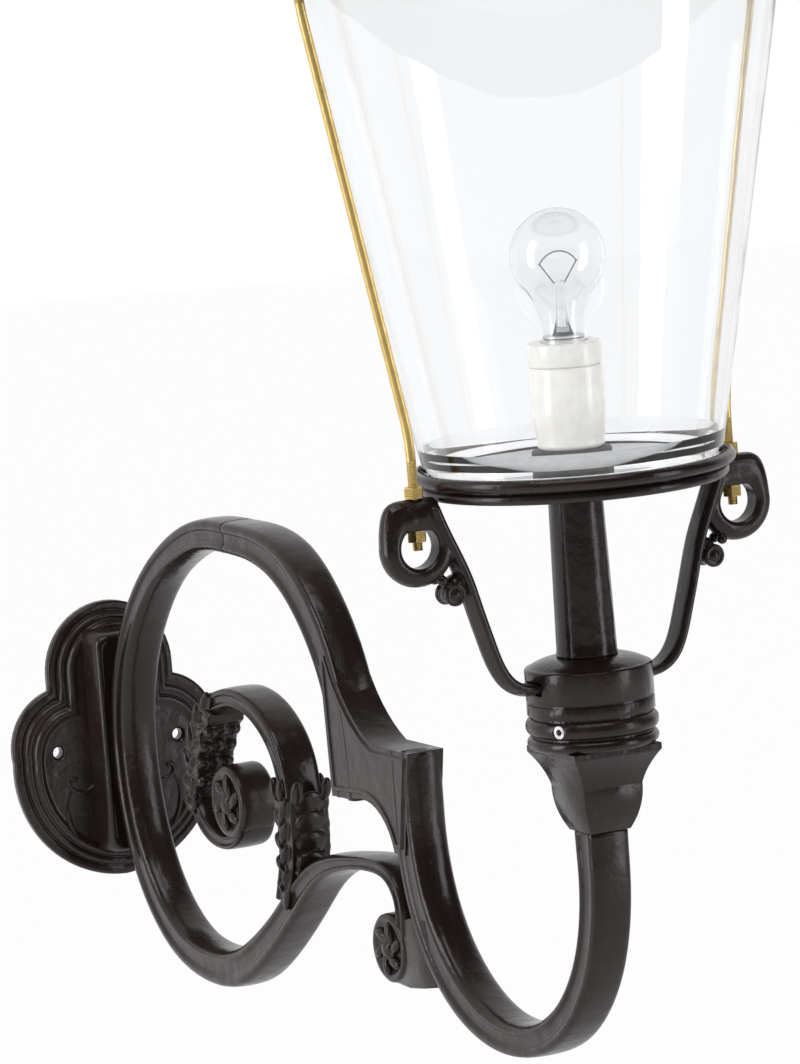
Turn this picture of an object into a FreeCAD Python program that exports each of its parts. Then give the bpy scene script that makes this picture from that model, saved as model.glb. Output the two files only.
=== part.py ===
import FreeCAD, Part
import math
import os

# Wall-mounted street lantern. Millimetres, +Z up, the wall is the plane Y = 0 and the lamp stands out
# toward -Y. The origin is on the wall, midway between the two fixing holes of the trefoil plate.
os.makedirs("parts", exist_ok=True)
doc = FreeCAD.newDocument("TorchSconce")
V = FreeCAD.Vector

# Numbers are sizes that stand by themselves; formulas place what seats on, or clears, another piece.
SIZES = {
    # where the lantern stands
    "projection": 725,
    # trefoil wall plate
    "plate_side": 81, "plate_top": 105, "plate_bottom": -97, "plate_lobe": 50, "plate_shoulder": 45,
    "plate_edge": 6, "plate_middle": 9, "plate_field": 11.5, "plate_bead": 8,
    "hole_spacing": 96, "hole_bore": 8.4, "hole_sink": 12.5, "hole_sink_depth": 2,
    "boss_front": 30, "boss_top": 83, "boss_foot": -75, "boss_half": 20, "boss_draft": 4, "boss_round": 3,
    "inlet_level": -58, "inlet_bore": 16, "inlet_depth": 24, "grommet_wall": 3, "grommet_length": 10,
    "plate_bolt_level": 34, "plate_bolt_bore": 8, "plate_bolt_head": 13, "plate_bolt_head_depth": 8,
    "plate_bolt_reach": 22,
    # cast scroll bracket
    "strap_width": 28, "groove_depth": 1.8, "groove_share": 0.3,
    "seam_reach": 240, "crown_level": 171, "dowel_bore": 8,
    "dowel_length": 36, "rosette_proud": 5, "husk_proud": 3, "back_leaf_proud": 2.5,
    "hook_leg": 481, "hook_leg_width": 30,
    "rosette_button": 0.34, "rosette_petal": 0.27, "rosette_circle": 0.56, "rosette_petals": 6,
    # capital and spigot
    "capital_foot": 27, "capital_height": 54, "capital_top": "=capital_foot + capital_height",
    "capital_half": 31, "capital_rim": 4, "capital_waist": 21, "capital_neck": "=strap_width / 2",
    "capital_waist_level": "=capital_top - 25", "spigot_radius": 16, "spigot_depth": 14,
    "spigot_top": "=capital_top + 25", "stud_radius": 6, "stud_foot": "=capital_foot - 25",
    "stud_top": "=spigot_top - 6",
    # collar
    "collar_height": 50.5, "collar_top": "=capital_top + collar_height", "collar_radius": 40,
    "collar_web": "=collar_top - 14", "collar_crown": "=collar_top + 5.5",
    "fit_gap": 0.05, "body_gap": 0.3, "grub_level": "=capital_top + 14", "grub_radius": 4, "grub_angle": 60,
    "grub_socket": 4.5, "spigot_groove": 9, "collar_groove": 2.5, "collar_bead": 1.7, "collar_band": 21,
    # column, gallery and hollow rod
    "column_top": 17, "column_foot": 19, "column_bore": 9, "column_length": 107,
    "gallery_foot": "=collar_crown + column_length", "gallery_height": 16, "gallery_lip": 8,
    "gallery_radius": "=glass_foot_radius + gallery_lip", "gallery_top": "=gallery_foot + gallery_height",
    "gallery_floor": "=gallery_top - 4", "rod_hollow": 3.5, "rod_thread": 5, "rod_foot": "=collar_web - 9",
    "rod_end": "=glass_foot + 19", "rod_nut_flats": 14, "rod_nut_height": 7,
    # glass
    "gasket_thick": 2, "glass_foot": "=gallery_floor + gasket_thick", "glass_foot_radius": 93,
    "glass_height": 317, "glass_top": "=glass_foot + glass_height", "glass_top_radius": 153, "glass_wall": 4,
    # tie rods
    "tie_radius": 3, "tie_gap": 11, "tie_reach": "=gallery_radius + tie_gap",
    "tie_top_reach": "=glass_top_radius + tie_gap", "tie_bend": "=gallery_top + 25",
    "tie_top_bend": "=glass_top - 17", "tie_foot": "=eye_flat - 12.3", "tie_end": "=lug_top + 7",
    "nut_flats": 11, "nut_height": 7,
    # stirrup arms
    "arm_thick": 8, "arm_width": 18, "slot_gap": 0.2, "foot_level": "=collar_top - 10.5", "foot_reach": 22,
    "ear_width": 16, "ear_top": "=gallery_foot + 5", "eye_centre": "=tie_reach + 1",
    "eye_level": "=ear_top - 30", "eye_radius": 13, "eye_flat": "=eye_level + 10.3", "ear_radius": 25.5,
    "knob_radius": 8, "knob_reach": "=eye_centre - 21", "knob_level": "=eye_level - 32",
    "foot_screw_reach": 31, "foot_screw_radius": 2.5, "foot_head_foot": "=capital_top + 15",
    "foot_head_height": 5, "dimple_depth": 3,
    # lamp holder
    "seat_radius": 25, "seat_height": 9, "seat_top": "=glass_foot + seat_height", "holder_radius": 23,
    "holder_split": "=seat_top + 51.5", "holder_top": "=holder_split + 15", "holder_bore": 15.6,
    "shell_foot": "=seat_top + 36", "shell_radius": 15, "shell_bore": 13.6, "thread_pitch": 3.63,
    # bulb
    "cap_radius": "=shell_bore - 0.4", "cap_foot": "=shell_foot + 13", "cap_height": 21,
    "cap_top": "=cap_foot + cap_height", "globe_radius": 30, "globe_level": "=cap_top + 49",
    "bulb_wall": 0.8, "tip_foot": "=cap_foot - 5", "tip_gap": 0.4,
    # top ring and its lugs
    "ring_foot": "=glass_top + 2.3", "ring_thick": 11.7, "ring_top": "=ring_foot + ring_thick",
    "ring_bore": "=glass_top_radius - 15", "lip_wall": 2.4, "ring_radius": "=glass_top_radius + 4.2",
    "lip_foot": "=glass_top - 6", "lug_reach": "=tie_top_reach + 9", "lug_width": 18,
    "lug_foot": "=ring_foot + 1.7", "lug_top": "=lug_foot + 6",
    # hood and ventilator
    "curb_radius": "=ring_bore + 8", "curb_wall": 2.5, "hood_overhang": 13,
    "hood_radius": "=lug_reach + hood_overhang", "hood_foot": "=ring_top", "hood_rise": 83, "hood_wall": 2,
    "neck_radius": 40, "neck_foot": "=hood_foot + hood_rise", "neck_height": 24,
    "neck_top": "=neck_foot + neck_height", "vent_bore": 9, "vent_count": 10,
    "hinge_reach": "=ring_radius + 10.8", "hinge_level": "=ring_top + 5", "hinge_pin": 2.5,
    "knuckle_radius": 5, "leaf_width": 26, "knuckle_width": 8,
}


# The driving sizes live in one sheet; primitives are bound to it, shaped pieces read it.
sheet = doc.addObject("Spreadsheet::Sheet", "Dim")
for row, (word, value) in enumerate(SIZES.items(), start=1):
    sheet.set("A%d" % row, word)
    sheet.setAlias("B%d" % row, word)
for row, value in enumerate(SIZES.values(), start=1):
    sheet.set("B%d" % row, str(value))
doc.recompute()


def size(word):
    """Number kept in the sheet under a word."""
    return float(sheet.get(word))


finished = []


def keep(piece, label, on_lantern_axis=False):
    """Name a finished sub-part, and stand it on the lantern axis if it was drawn round the origin."""
    piece.Label = label
    if on_lantern_axis:
        piece.setExpression("Placement.Base.y", "-Dim.projection")
    finished.append(piece)
    return piece


def shaped(name, shape):
    """Feature for a form that no primitive or sketch fits."""
    piece = doc.addObject("Part::Feature", name)
    piece.Shape = shape
    return piece


def drum(name, radius, height, foot, x="0", y="0"):
    """Upright cylinder; every size is a formula on the sheet."""
    piece = doc.addObject("Part::Cylinder", name)
    piece.setExpression("Radius", radius)
    piece.setExpression("Height", height)
    piece.setExpression("Placement.Base.x", x)
    piece.setExpression("Placement.Base.y", y)
    piece.setExpression("Placement.Base.z", foot)
    return piece


def lying_drum(name, radius, length, start, direction):
    """Cylinder along a level direction; start is three formulas."""
    piece = doc.addObject("Part::Cylinder", name)
    piece.setExpression("Radius", radius)
    piece.setExpression("Height", length)
    piece.Placement.Rotation = FreeCAD.Rotation(V(0, 0, 1), direction)
    for axis, formula in zip("xyz", start):
        piece.setExpression("Placement.Base." + axis, formula)
    return piece


def block(name, spans, start):
    """Box with three formulas for its spans and three for its low corner."""
    piece = doc.addObject("Part::Box", name)
    for prop, formula in zip(("Length", "Width", "Height"), spans):
        piece.setExpression(prop, formula)
    for axis, formula in zip("xyz", start):
        piece.setExpression("Placement.Base." + axis, formula)
    return piece


def hexagon(name, flats, height, foot, x="0", y="0"):
    """Upright hexagon bar, measured across its flats."""
    piece = doc.addObject("Part::Prism", name)
    piece.Polygon = 6
    piece.setExpression("Circumradius", "%s / sqrt(3)" % flats)
    piece.setExpression("Height", height)
    piece.setExpression("Placement.Base.x", x)
    piece.setExpression("Placement.Base.y", y)
    piece.setExpression("Placement.Base.z", foot)
    return piece


def cut(name, base, *tools):
    """Take the tools away from the base."""
    tool = tools[0] if len(tools) == 1 else fuse(name + "Tools", *tools)
    piece = doc.addObject("Part::Cut", name)
    piece.Base = base
    piece.Tool = tool
    return piece


def fuse(name, *members):
    """Join the members into one."""
    piece = doc.addObject("Part::MultiFuse", name)
    piece.Shapes = list(members)
    return piece


def group(name, *members):
    """Separate solids kept together under one name."""
    piece = doc.addObject("Part::Compound", name)
    piece.Links = list(members)
    return piece


def mirrored(name, source):
    """The same piece on the other side of the plane X = 0."""
    piece = doc.addObject("Part::Mirroring", name)
    piece.Source = source
    piece.Base = V(0, 0, 0)
    piece.Normal = V(1, 0, 0)
    return piece


def turned(name, outline):
    """Body turned about the upright axis.

    The outline is (radius, height) corners; an entry of four numbers is an arc through the first two
    to the last two.
    """
    body = doc.addObject("PartDesign::Body", name)
    sketch = body.newObject("Sketcher::SketchObject", name + "Outline")
    plane = [item for item in body.Origin.OriginFeatures if item.Role == "XZ_Plane"][0]
    sketch.AttachmentSupport = (plane, [""])
    sketch.MapMode = "FlatFace"
    last = V(outline[0][0], outline[0][1], 0)
    for entry in outline[1:] + outline[:1]:
        end = V(entry[-2], entry[-1], 0)
        if len(entry) == 4:
            sketch.addGeometry(Part.Arc(last, V(entry[0], entry[1], 0), end), False)
        else:
            sketch.addGeometry(Part.LineSegment(last, end), False)
        last = end
    turn = body.newObject("PartDesign::Revolution", name + "Turn")
    turn.Profile = sketch
    turn.ReferenceAxis = (sketch, ["V_Axis"])
    turn.Angle = 360
    return body


def side_point(reach, level):
    """Point of the bracket's middle plane, by its distance from the wall and its level."""
    return V(0, -reach, level)


def side_spline(points):
    """Smooth edge through points of the middle plane."""
    curve = Part.BSplineCurve()
    curve.interpolate(points)
    return curve.toShape()


def strip_face(stations, low=-1.0, high=1.0):
    """Face of a strip that follows its stations of (reach, level, width).

    Low and high are the sides as shares of the half width: -1 and 1 give the whole strip.
    """
    middle = Part.BSplineCurve()
    middle.interpolate([side_point(reach, level) for reach, level, width in stations])
    low_side = []
    high_side = []
    for reach, level, width in stations:
        point = side_point(reach, level)
        along = middle.tangent(middle.parameter(point))[0]
        across = V(0, -along.z, along.y) * (width / 2)
        low_side.append(point + across * low)
        high_side.append(point + across * high)
    edges = [
        side_spline(low_side),
        Part.makeLine(low_side[-1], high_side[-1]),
        side_spline(high_side),
        Part.makeLine(high_side[0], low_side[0]),
    ]
    return Part.Face(Part.Wire(Part.__sortEdges__(edges)))


def side_face(points):
    """Straight-sided face from points of the middle plane."""
    corners = [side_point(reach, level) for reach, level in points]
    return Part.Face(Part.makePolygon(corners + corners[:1]))


def shelf_face():
    """Face of the shelf, with a hollow round at the neck and one under the hook's leg."""
    points = {word: side_point(*place) for word, place in SHELF.items()}
    edges = [
        Part.makeLine(points["corner"], points["under"]),
        Part.Arc(points["under"], points["under_round"], points["leg"]).toShape(),
        Part.makeLine(points["leg"], points["leg_inside"]),
        Part.makeLine(points["leg_inside"], points["leg_top"]),
        Part.makeLine(points["leg_top"], points["top"]),
        Part.Arc(points["top"], points["neck_round"], points["neck"]).toShape(),
        Part.makeLine(points["neck"], points["neck_inside"]),
        Part.makeLine(points["neck_inside"], points["corner"]),
    ]
    return Part.Face(Part.Wire(Part.__sortEdges__(edges)))


def across_wall(face, width):
    """Thicken a middle-plane face evenly to both sides."""
    solid = face.extrude(V(width, 0, 0))
    solid.translate(V(-width / 2, 0, 0))
    return solid


def space_above(level, reach, span=60):
    """Block that takes away what lies over a level, round a distance from the wall."""
    return Part.makeBox(span, span, span, V(-span / 2, -reach - span / 2, level))


def both_sides(face, outer, depth):
    """Two slabs of a middle-plane face, lying just inside plus and minus outer."""
    right = face.extrude(V(depth, 0, 0))
    right.translate(V(outer - depth, 0, 0))
    left = right.mirror(V(0, 0, 0), V(1, 0, 0))
    return right.fuse(left)


# ---------------------------------------------------------------- wall plate

def trefoil(inset):
    """Outline of the plate, drawn in by an inset: a round top lobe over two broad shoulders."""
    lobe = size("plate_lobe") - inset
    top = size("plate_top") - inset
    side = size("plate_side") - inset
    bottom = size("plate_bottom") + inset
    shoulder = size("plate_shoulder") - inset
    crown = top - lobe
    flank = V(lobe + (side - lobe) * 0.76, 0, shoulder - (shoulder + 5) * 0.33)
    belly = V(side * 0.745, 0, bottom * 0.70)
    edges = []
    for hand in (1, -1):
        points = {
            "lobe": V(hand * lobe, 0, crown), "notch": V(hand * lobe, 0, shoulder),
            "flank": V(hand * flank.x, 0, flank.z), "side": V(hand * side, 0, -5),
            "belly": V(hand * belly.x, 0, belly.z), "bottom": V(0, 0, bottom),
        }
        edges.append(Part.makeLine(points["lobe"], points["notch"]))
        edges.append(Part.Arc(points["notch"], points["flank"], points["side"]).toShape())
        edges.append(Part.Arc(points["side"], points["belly"], points["bottom"]).toShape())
    edges.append(Part.Arc(V(lobe, 0, crown), V(0, 0, top), V(-lobe, 0, crown)).toShape())
    return Part.Face(Part.Wire(Part.__sortEdges__(edges)))


def make_wall_plate():
    """Stepped trefoil plate with a drafted boss, fixing holes, bolt holes and the cable inlet."""
    bead = size("plate_bead")
    plate = trefoil(0).extrude(V(0, -size("plate_edge"), 0))
    plate = plate.fuse(trefoil(bead).extrude(V(0, -size("plate_middle"), 0)))
    plate = plate.fuse(trefoil(1.9 * bead).extrude(V(0, -size("plate_field"), 0)))
    half = size("boss_half")
    draft = size("boss_draft")
    top = size("boss_top")
    foot = size("boss_foot")
    root = Part.makePolygon([V(-half - draft, 0, foot - draft), V(half + draft, 0, foot - draft),
                             V(half + draft, 0, top + draft), V(-half - draft, 0, top + draft),
                             V(-half - draft, 0, foot - draft)])
    front = size("boss_front")
    face = Part.makePolygon([V(-half, -front, foot), V(half, -front, foot), V(half, -front, top),
                             V(-half, -front, top), V(-half, -front, foot)])
    boss = Part.makeLoft([root, face], True, True)
    rims = [edge for edge in boss.Edges if edge.BoundBox.YMax < -front + 0.1]
    plate = plate.fuse(boss.makeFillet(size("boss_round"), rims)).removeSplitter()
    piece = shaped("PlateCasting", plate)
    tools = []
    for hand in ("-", ""):
        place = hand + "Dim.hole_spacing / 2"
        tools.append(lying_drum("FixingHole", "Dim.hole_bore / 2", "Dim.plate_field + 2",
                                (place, "1", "0"), V(0, -1, 0)))
        tools.append(lying_drum("FixingSink", "Dim.hole_sink / 2", "Dim.hole_sink_depth + 1",
                                (place, "-Dim.plate_field + Dim.hole_sink_depth", "0"), V(0, -1, 0)))
        level = hand + "Dim.plate_bolt_level"
        tools.append(lying_drum("BoltHole", "Dim.plate_bolt_bore / 2", "Dim.boss_front + 2",
                                ("0", "1", level), V(0, -1, 0)))
        tools.append(lying_drum("BoltSink", "Dim.plate_bolt_head / 2 + 0.5", "Dim.plate_bolt_head_depth + 1",
                                ("0", "1", level), V(0, -1, 0)))
    tools.append(lying_drum("InletBore", "Dim.inlet_bore / 2", "Dim.inlet_depth + 1",
                            ("0", "1", "Dim.inlet_level"), V(0, -1, 0)))
    tools.append(shaped("StrapSeat", whole_strap("loop")))
    keep(cut("WallPlate", piece, *tools), "wall_plate")


# ---------------------------------------------------------------- scroll bracket

# Each strip is a list of stations along its middle line: (distance from wall, level, strip width).
SEAM = (size("seam_reach"), size("crown_level"), 24)
LOOP = [SEAM, (197, 169.5, 23.5), (155, 157, 22.5), (117, 137, 21), (83, 108, 22), (57, 73, 23),
        (42, 35, 25), (38, -2, 26), (42, -38, 26), (54, -73, 26), (78, -107, 26), (115, -132, 26),
        (160, -140.5, 27), (203, -136, 28), (240, -119, 27), (275, -96, 25), (305, -73, 24),
        (331, -55, 20), (358, -43.5, 15), (392, -36.5, 11), (428, -33.5, 10.5), (452, -38.5, 11),
        (464, -54, 12), (463, -76, 13)]
QUARTER = [SEAM, (283, 168.5, 27), (323, 156, 32), (353.5, 132.5, 33), (377, 102, 33),
           (391.5, 67, 33), (396.5, 29, 33), (396.5, 8, 33)]
LEG = size("hook_leg")
LEG_WIDTH = size("hook_leg_width")
AXIS = size("projection")
BOWL = (LEG + AXIS) / 2
HOOK = [(LEG, 50, LEG_WIDTH), (LEG, 24, LEG_WIDTH), (LEG, -2, LEG_WIDTH), (LEG + 17, -64, 31),
        (BOWL - 61, -108, 29), (BOWL, -124, 23), (BOWL + 61, -108, 23), (AXIS - 16.5, -63, 24),
        (AXIS, -2, 26), (AXIS, 14, 27), (AXIS, size("capital_foot") + 3, size("strap_width"))]
CURL = [(286, -78, 20), (299, -40, 18), (303, -2, 17), (297, 22, 17), (278, 43, 16), (252, 55, 15),
        (225, 57.5, 15), (196, 50, 15), (172, 33, 15), (158, 8, 15), (156, -18, 14), (170, -38, 13),
        (196, -46.5, 12), (221, -40, 11), (233, -22, 9)]
# Shelf between the quarter loop and the hook: straight corners, and the middle points of its two rounds.
# The leg's corners are measured from the hook's own leg.
SHELF = {"corner": (380, 8), "under": (LEG - 57, 11), "under_round": (LEG - 28, 1),
         "leg": (LEG - LEG_WIDTH / 2, -20), "leg_inside": (LEG, -20), "leg_top": (LEG + LEG_WIDTH / 2, 50),
         "top": (LEG - 37, 50),
         "neck_round": (LEG - 62, 64), "neck": (403, 92), "neck_inside": (385, 92)}
SHELF_GROOVE = [(390, 26), (LEG - 9, 26), (LEG - 9, 34), (390, 34)]
CURL_BOSS = (213, -17, 26)
END_BOSS = (446, -87, 23.5)
END_WEB = [(446, -110.5), (512, -104), (500, -60), (455, -66)]


def boss_disc(boss, width):
    """Round cheek across the bracket: (reach, level, radius)."""
    reach, level, radius = boss
    return Part.makeCylinder(radius, width, V(-width / 2, -reach, level), V(1, 0, 0))


def strap_grooves(stations):
    """Channel sunk along the middle of both side faces."""
    share = size("groove_share")
    return both_sides(strip_face(stations, -share, share), size("strap_width") / 2, size("groove_depth"))


def whole_strap(which):
    """Plain form of the loop casting or the hook casting, before its neighbours are fitted."""
    width = size("strap_width")
    if which == "loop":
        solid = across_wall(strip_face(LOOP), width)
        solid = solid.fuse(boss_disc(END_BOSS, width))
        return solid.fuse(across_wall(side_face(END_WEB), width)).removeSplitter()
    solid = across_wall(strip_face(QUARTER), width)
    solid = solid.fuse(across_wall(shelf_face(), width))
    return solid.fuse(across_wall(strip_face(HOOK), width)).removeSplitter()


def plain_curl():
    """Plain form of the inner scroll with the boss at its end."""
    width = size("strap_width")
    return across_wall(strip_face(CURL), width).fuse(boss_disc(CURL_BOSS, width))


def seam_dowel_hole():
    """Hole for the dowel that lines up the two castings at the crown seam."""
    length = size("dowel_length")
    seam = size("seam_reach")
    return Part.makeCylinder(size("dowel_bore") / 2, length, V(0, -seam + length / 2, size("crown_level")),
                             V(0, -1, 0))


def make_castings():
    """The big loop with its lower arch, and the hook arm with its shelf."""
    loop = whole_strap("loop")
    hook = whole_strap("hook")
    hook_fitted = hook.cut(seam_dowel_hole())
    hook_fitted = hook_fitted.cut(strap_grooves(QUARTER[:-2]))
    hook_fitted = hook_fitted.cut(strap_grooves(HOOK[1:]))
    shelf_groove = both_sides(side_face(SHELF_GROOVE), size("strap_width") / 2, size("groove_depth"))
    stud_hole = Part.makeCylinder(size("stud_radius"), size("capital_height"), V(0, -AXIS, size("stud_foot")))
    over_hook = space_above(size("capital_foot"), AXIS)
    keep(shaped("HookArm", hook_fitted.cut(shelf_groove).cut(stud_hole).cut(over_hook)), "hook_arm")
    loop_fitted = loop.cut(hook).cut(seam_dowel_hole())
    loop_fitted = loop_fitted.cut(strap_grooves(LOOP[:15]))
    for hand in (1, -1):
        hole = Part.makeCylinder(size("plate_bolt_bore") / 2, size("boss_front") + size("plate_bolt_reach"),
                                 V(0, 0, hand * size("plate_bolt_level")), V(0, -1, 0))
        loop_fitted = loop_fitted.cut(hole)
    keep(shaped("ScrollLoop", loop_fitted), "scroll_loop")
    dowel = lying_drum("Dowel", "Dim.dowel_bore / 2", "Dim.dowel_length",
                       ("0", "-Dim.seam_reach + Dim.dowel_length / 2", "Dim.crown_level"), V(0, -1, 0))
    keep(dowel, "seam_dowel")
    curl = plain_curl().cut(loop).removeSplitter()
    keep(shaped("InnerScroll", curl.cut(strap_grooves(CURL[2:9]))), "inner_scroll")


# Leaf outlines in the middle plane: a husk where the inner scroll leaves the loop, and a leaf on its back.
HUSK = [(288, 4), (301, 0), (312, 6), (323, 3), (319, -10), (319, -30), (316, -48), (312, -58), (300, -78),
        (295, -62), (290, -44), (292, -24)]
BACK_LEAF = [(206, 62), (184, 55), (163, 38), (149, 14), (146, -12), (153, -34), (163, -26), (170, -12),
             (181, -2), (176, 8), (188, 18), (184, 28), (201, 34), (198, 44)]


def leaf_cover(outline, proud, solids):
    """Leaf wrapped over a strap: a slab wider than the strap, with the strap itself taken out."""
    cover = across_wall(side_face(outline), size("strap_width") + 2 * proud)
    for solid in solids:
        cover = cover.cut(solid)
    return cover


def make_leaves():
    """Husk, back leaf and the rosettes on both cheeks of the two scroll ends."""
    loop = whole_strap("loop")
    width = size("strap_width")
    curl = plain_curl()
    keep(shaped("Husk", leaf_cover(HUSK, size("husk_proud"), [loop, curl])), "leaf_husk")
    keep(shaped("BackLeaf", leaf_cover(BACK_LEAF, size("back_leaf_proud"), [loop, curl])), "back_leaf")
    for name, label, boss in (("InnerRosettes", "inner_rosettes", CURL_BOSS),
                              ("EndRosettes", "end_rosettes", END_BOSS)):
        rosettes = [rosette(boss, width / 2, hand) for hand in (1, -1)]
        keep(shaped(name, Part.makeCompound(rosettes)), label)


def rosette(boss, cheek, hand):
    """Button and ring of petals that stand out from one cheek of a scroll's end."""
    reach, level, radius = boss
    circle = radius * size("rosette_circle")
    petals = int(size("rosette_petals"))
    flower = Part.makeSphere(radius * size("rosette_button"), V(hand * cheek, -reach, level))
    for number in range(petals):
        angle = number * math.tau / petals
        middle = V(hand * (cheek - 1.5), -reach + circle * math.cos(angle), level + circle * math.sin(angle))
        flower = flower.fuse(Part.makeSphere(radius * size("rosette_petal"), middle))
    slab = Part.makeCylinder(radius, size("rosette_proud"), V(hand * cheek, -reach, level), V(hand, 0, 0))
    return flower.common(slab).removeSplitter()


def make_plate_fittings():
    """Bolts from behind the plate into the loop, and the rubber grommet of the cable inlet."""
    bolts = []
    for number, hand in enumerate(("", "-")):
        level = hand + "Dim.plate_bolt_level"
        shank = lying_drum("PlateBoltShank%d" % number, "Dim.plate_bolt_bore / 2",
                           "Dim.boss_front + Dim.plate_bolt_reach - 8", ("0", "-8", level), V(0, -1, 0))
        head = lying_drum("PlateBoltHead%d" % number, "Dim.plate_bolt_head / 2", "Dim.plate_bolt_head_depth",
                          ("0", "0", level), V(0, -1, 0))
        socket = lying_drum("PlateBoltSocket%d" % number, "Dim.plate_bolt_head / 4.5", "4",
                            ("0", "0", level), V(0, -1, 0))
        bolts.append(cut("PlateBolt%d" % number, fuse("PlateBoltBlank%d" % number, shank, head), socket))
    keep(group("PlateBolts", *bolts), "plate_bolts")
    sleeve = lying_drum("GrommetSleeve", "Dim.inlet_bore / 2", "Dim.grommet_length",
                         ("0", "0", "Dim.inlet_level"), V(0, -1, 0))
    way = lying_drum("GrommetWay", "Dim.inlet_bore / 2 - Dim.grommet_wall", "Dim.grommet_length + 2",
                     ("0", "1", "Dim.inlet_level"), V(0, -1, 0))
    keep(cut("Grommet", sleeve, way), "cable_grommet")


# ---------------------------------------------------------------- capital, spigot and stud

def make_capital():
    """Square capital: hollow sides down to a waist, then a swelling down to the hook's width."""
    half = size("capital_half")
    waist = size("capital_waist")
    neck = size("capital_neck")
    top = size("capital_top")
    middle = size("capital_waist_level")
    foot = size("capital_foot")
    rim = top - size("capital_rim")
    right = [
        Part.makeLine(V(half, 0, top), V(half, 0, rim)),
        Part.Arc(V(half, 0, rim), V(waist + 2.6, 0, middle + 8), V(waist, 0, middle)).toShape(),
        Part.Arc(V(waist, 0, middle), V(waist - 1.6, 0, middle - 15), V(neck, 0, foot)).toShape(),
    ]
    mirror = [edge.mirror(V(0, 0, 0), V(1, 0, 0)) for edge in right]
    ends = [
        Part.makeLine(V(-half, 0, top), V(half, 0, top)),
        Part.makeLine(V(-neck, 0, foot), V(neck, 0, foot)),
    ]
    face = Part.Face(Part.Wire(Part.__sortEdges__(right + mirror + ends)))
    along_y = face.extrude(V(0, 4 * half, 0))
    along_y.translate(V(0, -2 * half, 0))
    along_x = along_y.copy()
    along_x.rotate(V(0, 0, 0), V(0, 0, 1), 90)
    casting = shaped("CapitalCasting", along_y.common(along_x).removeSplitter())
    socket = drum("SpigotSocket", "Dim.spigot_radius", "Dim.spigot_depth + 1",
                  "Dim.capital_top - Dim.spigot_depth")
    bore = drum("CapitalBore", "Dim.stud_radius", "Dim.capital_height + 2", "Dim.capital_foot - 1")
    keep(cut("Capital", casting, socket, bore), "capital", True)
    barrel = drum("SpigotBarrel", "Dim.spigot_radius", "Dim.spigot_top - Dim.capital_top + Dim.spigot_depth",
                  "Dim.capital_top - Dim.spigot_depth")
    groove_foot = "Dim.grub_level - Dim.spigot_groove / 2"
    waistline = drum("SpigotWaist", "Dim.spigot_radius + 2", "Dim.spigot_groove", groove_foot)
    waist_core = drum("SpigotWaistCore", "Dim.spigot_radius - 1", "Dim.spigot_groove", groove_foot)
    way = drum("SpigotWay", "Dim.stud_radius", "Dim.spigot_top - Dim.capital_foot", "Dim.capital_foot")
    keep(cut("Spigot", barrel, cut("SpigotGroove", waistline, waist_core), way), "spigot", True)
    stud = drum("StudBar", "Dim.stud_radius", "Dim.stud_top - Dim.stud_foot", "Dim.stud_foot")
    wire_way = drum("StudWay", "Dim.stud_radius / 2", "Dim.stud_top - Dim.stud_foot + 2", "Dim.stud_foot - 1")
    keep(cut("Stud", stud, wire_way), "spigot_stud", True)


# ---------------------------------------------------------------- collar, arms and column

def grub_angles():
    """Turns of the three grub screws, from the front: one behind and one to each side."""
    side = math.radians(size("grub_angle"))
    return (math.pi, -side, side)


def make_collar():
    """Ringed collar that turns on the spigot, slotted for the two arm feet."""
    radius = size("collar_radius")
    foot = size("capital_top") + size("body_gap")
    top = size("collar_top")
    web = size("collar_web")
    bore = size("spigot_radius") + size("fit_gap")
    crown = size("collar_crown")
    rod_bore = size("rod_thread") + size("body_gap")
    sunk = radius - size("collar_groove")
    bead = radius + size("collar_bead")
    band = foot + size("collar_band")
    body = turned("CollarBlank", [
        (bore, foot), (radius - 1, foot), (bead - 0.5, foot + 3.5, radius - 1, foot + 7),
        (sunk, foot + 7), (sunk, foot + 8.5), (radius - 1, foot + 8.5),
        (bead, foot + 13.7, radius - 1, foot + 19), (sunk, foot + 19),
        (sunk, band), (radius, band), (radius, band + 7), (sunk + 0.5, band + 7),
        (sunk + 0.5, band + 9), (radius, band + 9), (radius, top - 2),
        (radius - 0.6, top - 0.6, radius - 2, top), (radius - 8, top + 3, size("column_foot") + 1, crown),
        (rod_bore, crown), (rod_bore, web), (bore, web)])
    slot = block("FootSlots", ("2 * Dim.collar_radius + 10", "Dim.arm_width + 2 * Dim.slot_gap",
                               "Dim.arm_thick + 2 * Dim.slot_gap"),
                 ("-Dim.collar_radius - 5", "-Dim.arm_width / 2 - Dim.slot_gap",
                  "Dim.foot_level - Dim.arm_thick / 2 - Dim.slot_gap"))
    keeper = block("SlotCore", ("2 * (Dim.foot_reach - Dim.slot_gap)", "Dim.arm_width + 2",
                                "Dim.arm_thick + 2"),
                   ("-Dim.foot_reach + Dim.slot_gap", "-Dim.arm_width / 2 - 1",
                    "Dim.foot_level - Dim.arm_thick / 2 - 1"))
    tools = [cut("FootSlotPair", slot, keeper)]
    for number, angle in enumerate(grub_angles()):
        tools.append(lying_drum("GrubHole%d" % number, "Dim.grub_radius", "Dim.collar_radius + 4",
                                ("0", "0", "Dim.grub_level"), V(math.sin(angle), -math.cos(angle), 0)))
    for number, hand in enumerate(("-", "")):
        place = hand + "Dim.foot_screw_reach"
        tools.append(drum("FootScrewHole%d" % number, "Dim.foot_screw_radius", "Dim.collar_height",
                          "Dim.capital_top", place))
        tools.append(drum("FootScrewSink%d" % number, "2 * Dim.foot_screw_radius",
                          "Dim.foot_head_foot + Dim.foot_head_height - Dim.capital_top", "Dim.capital_top",
                          place))
    keep(cut("Collar", body, *tools), "collar", True)


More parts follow.
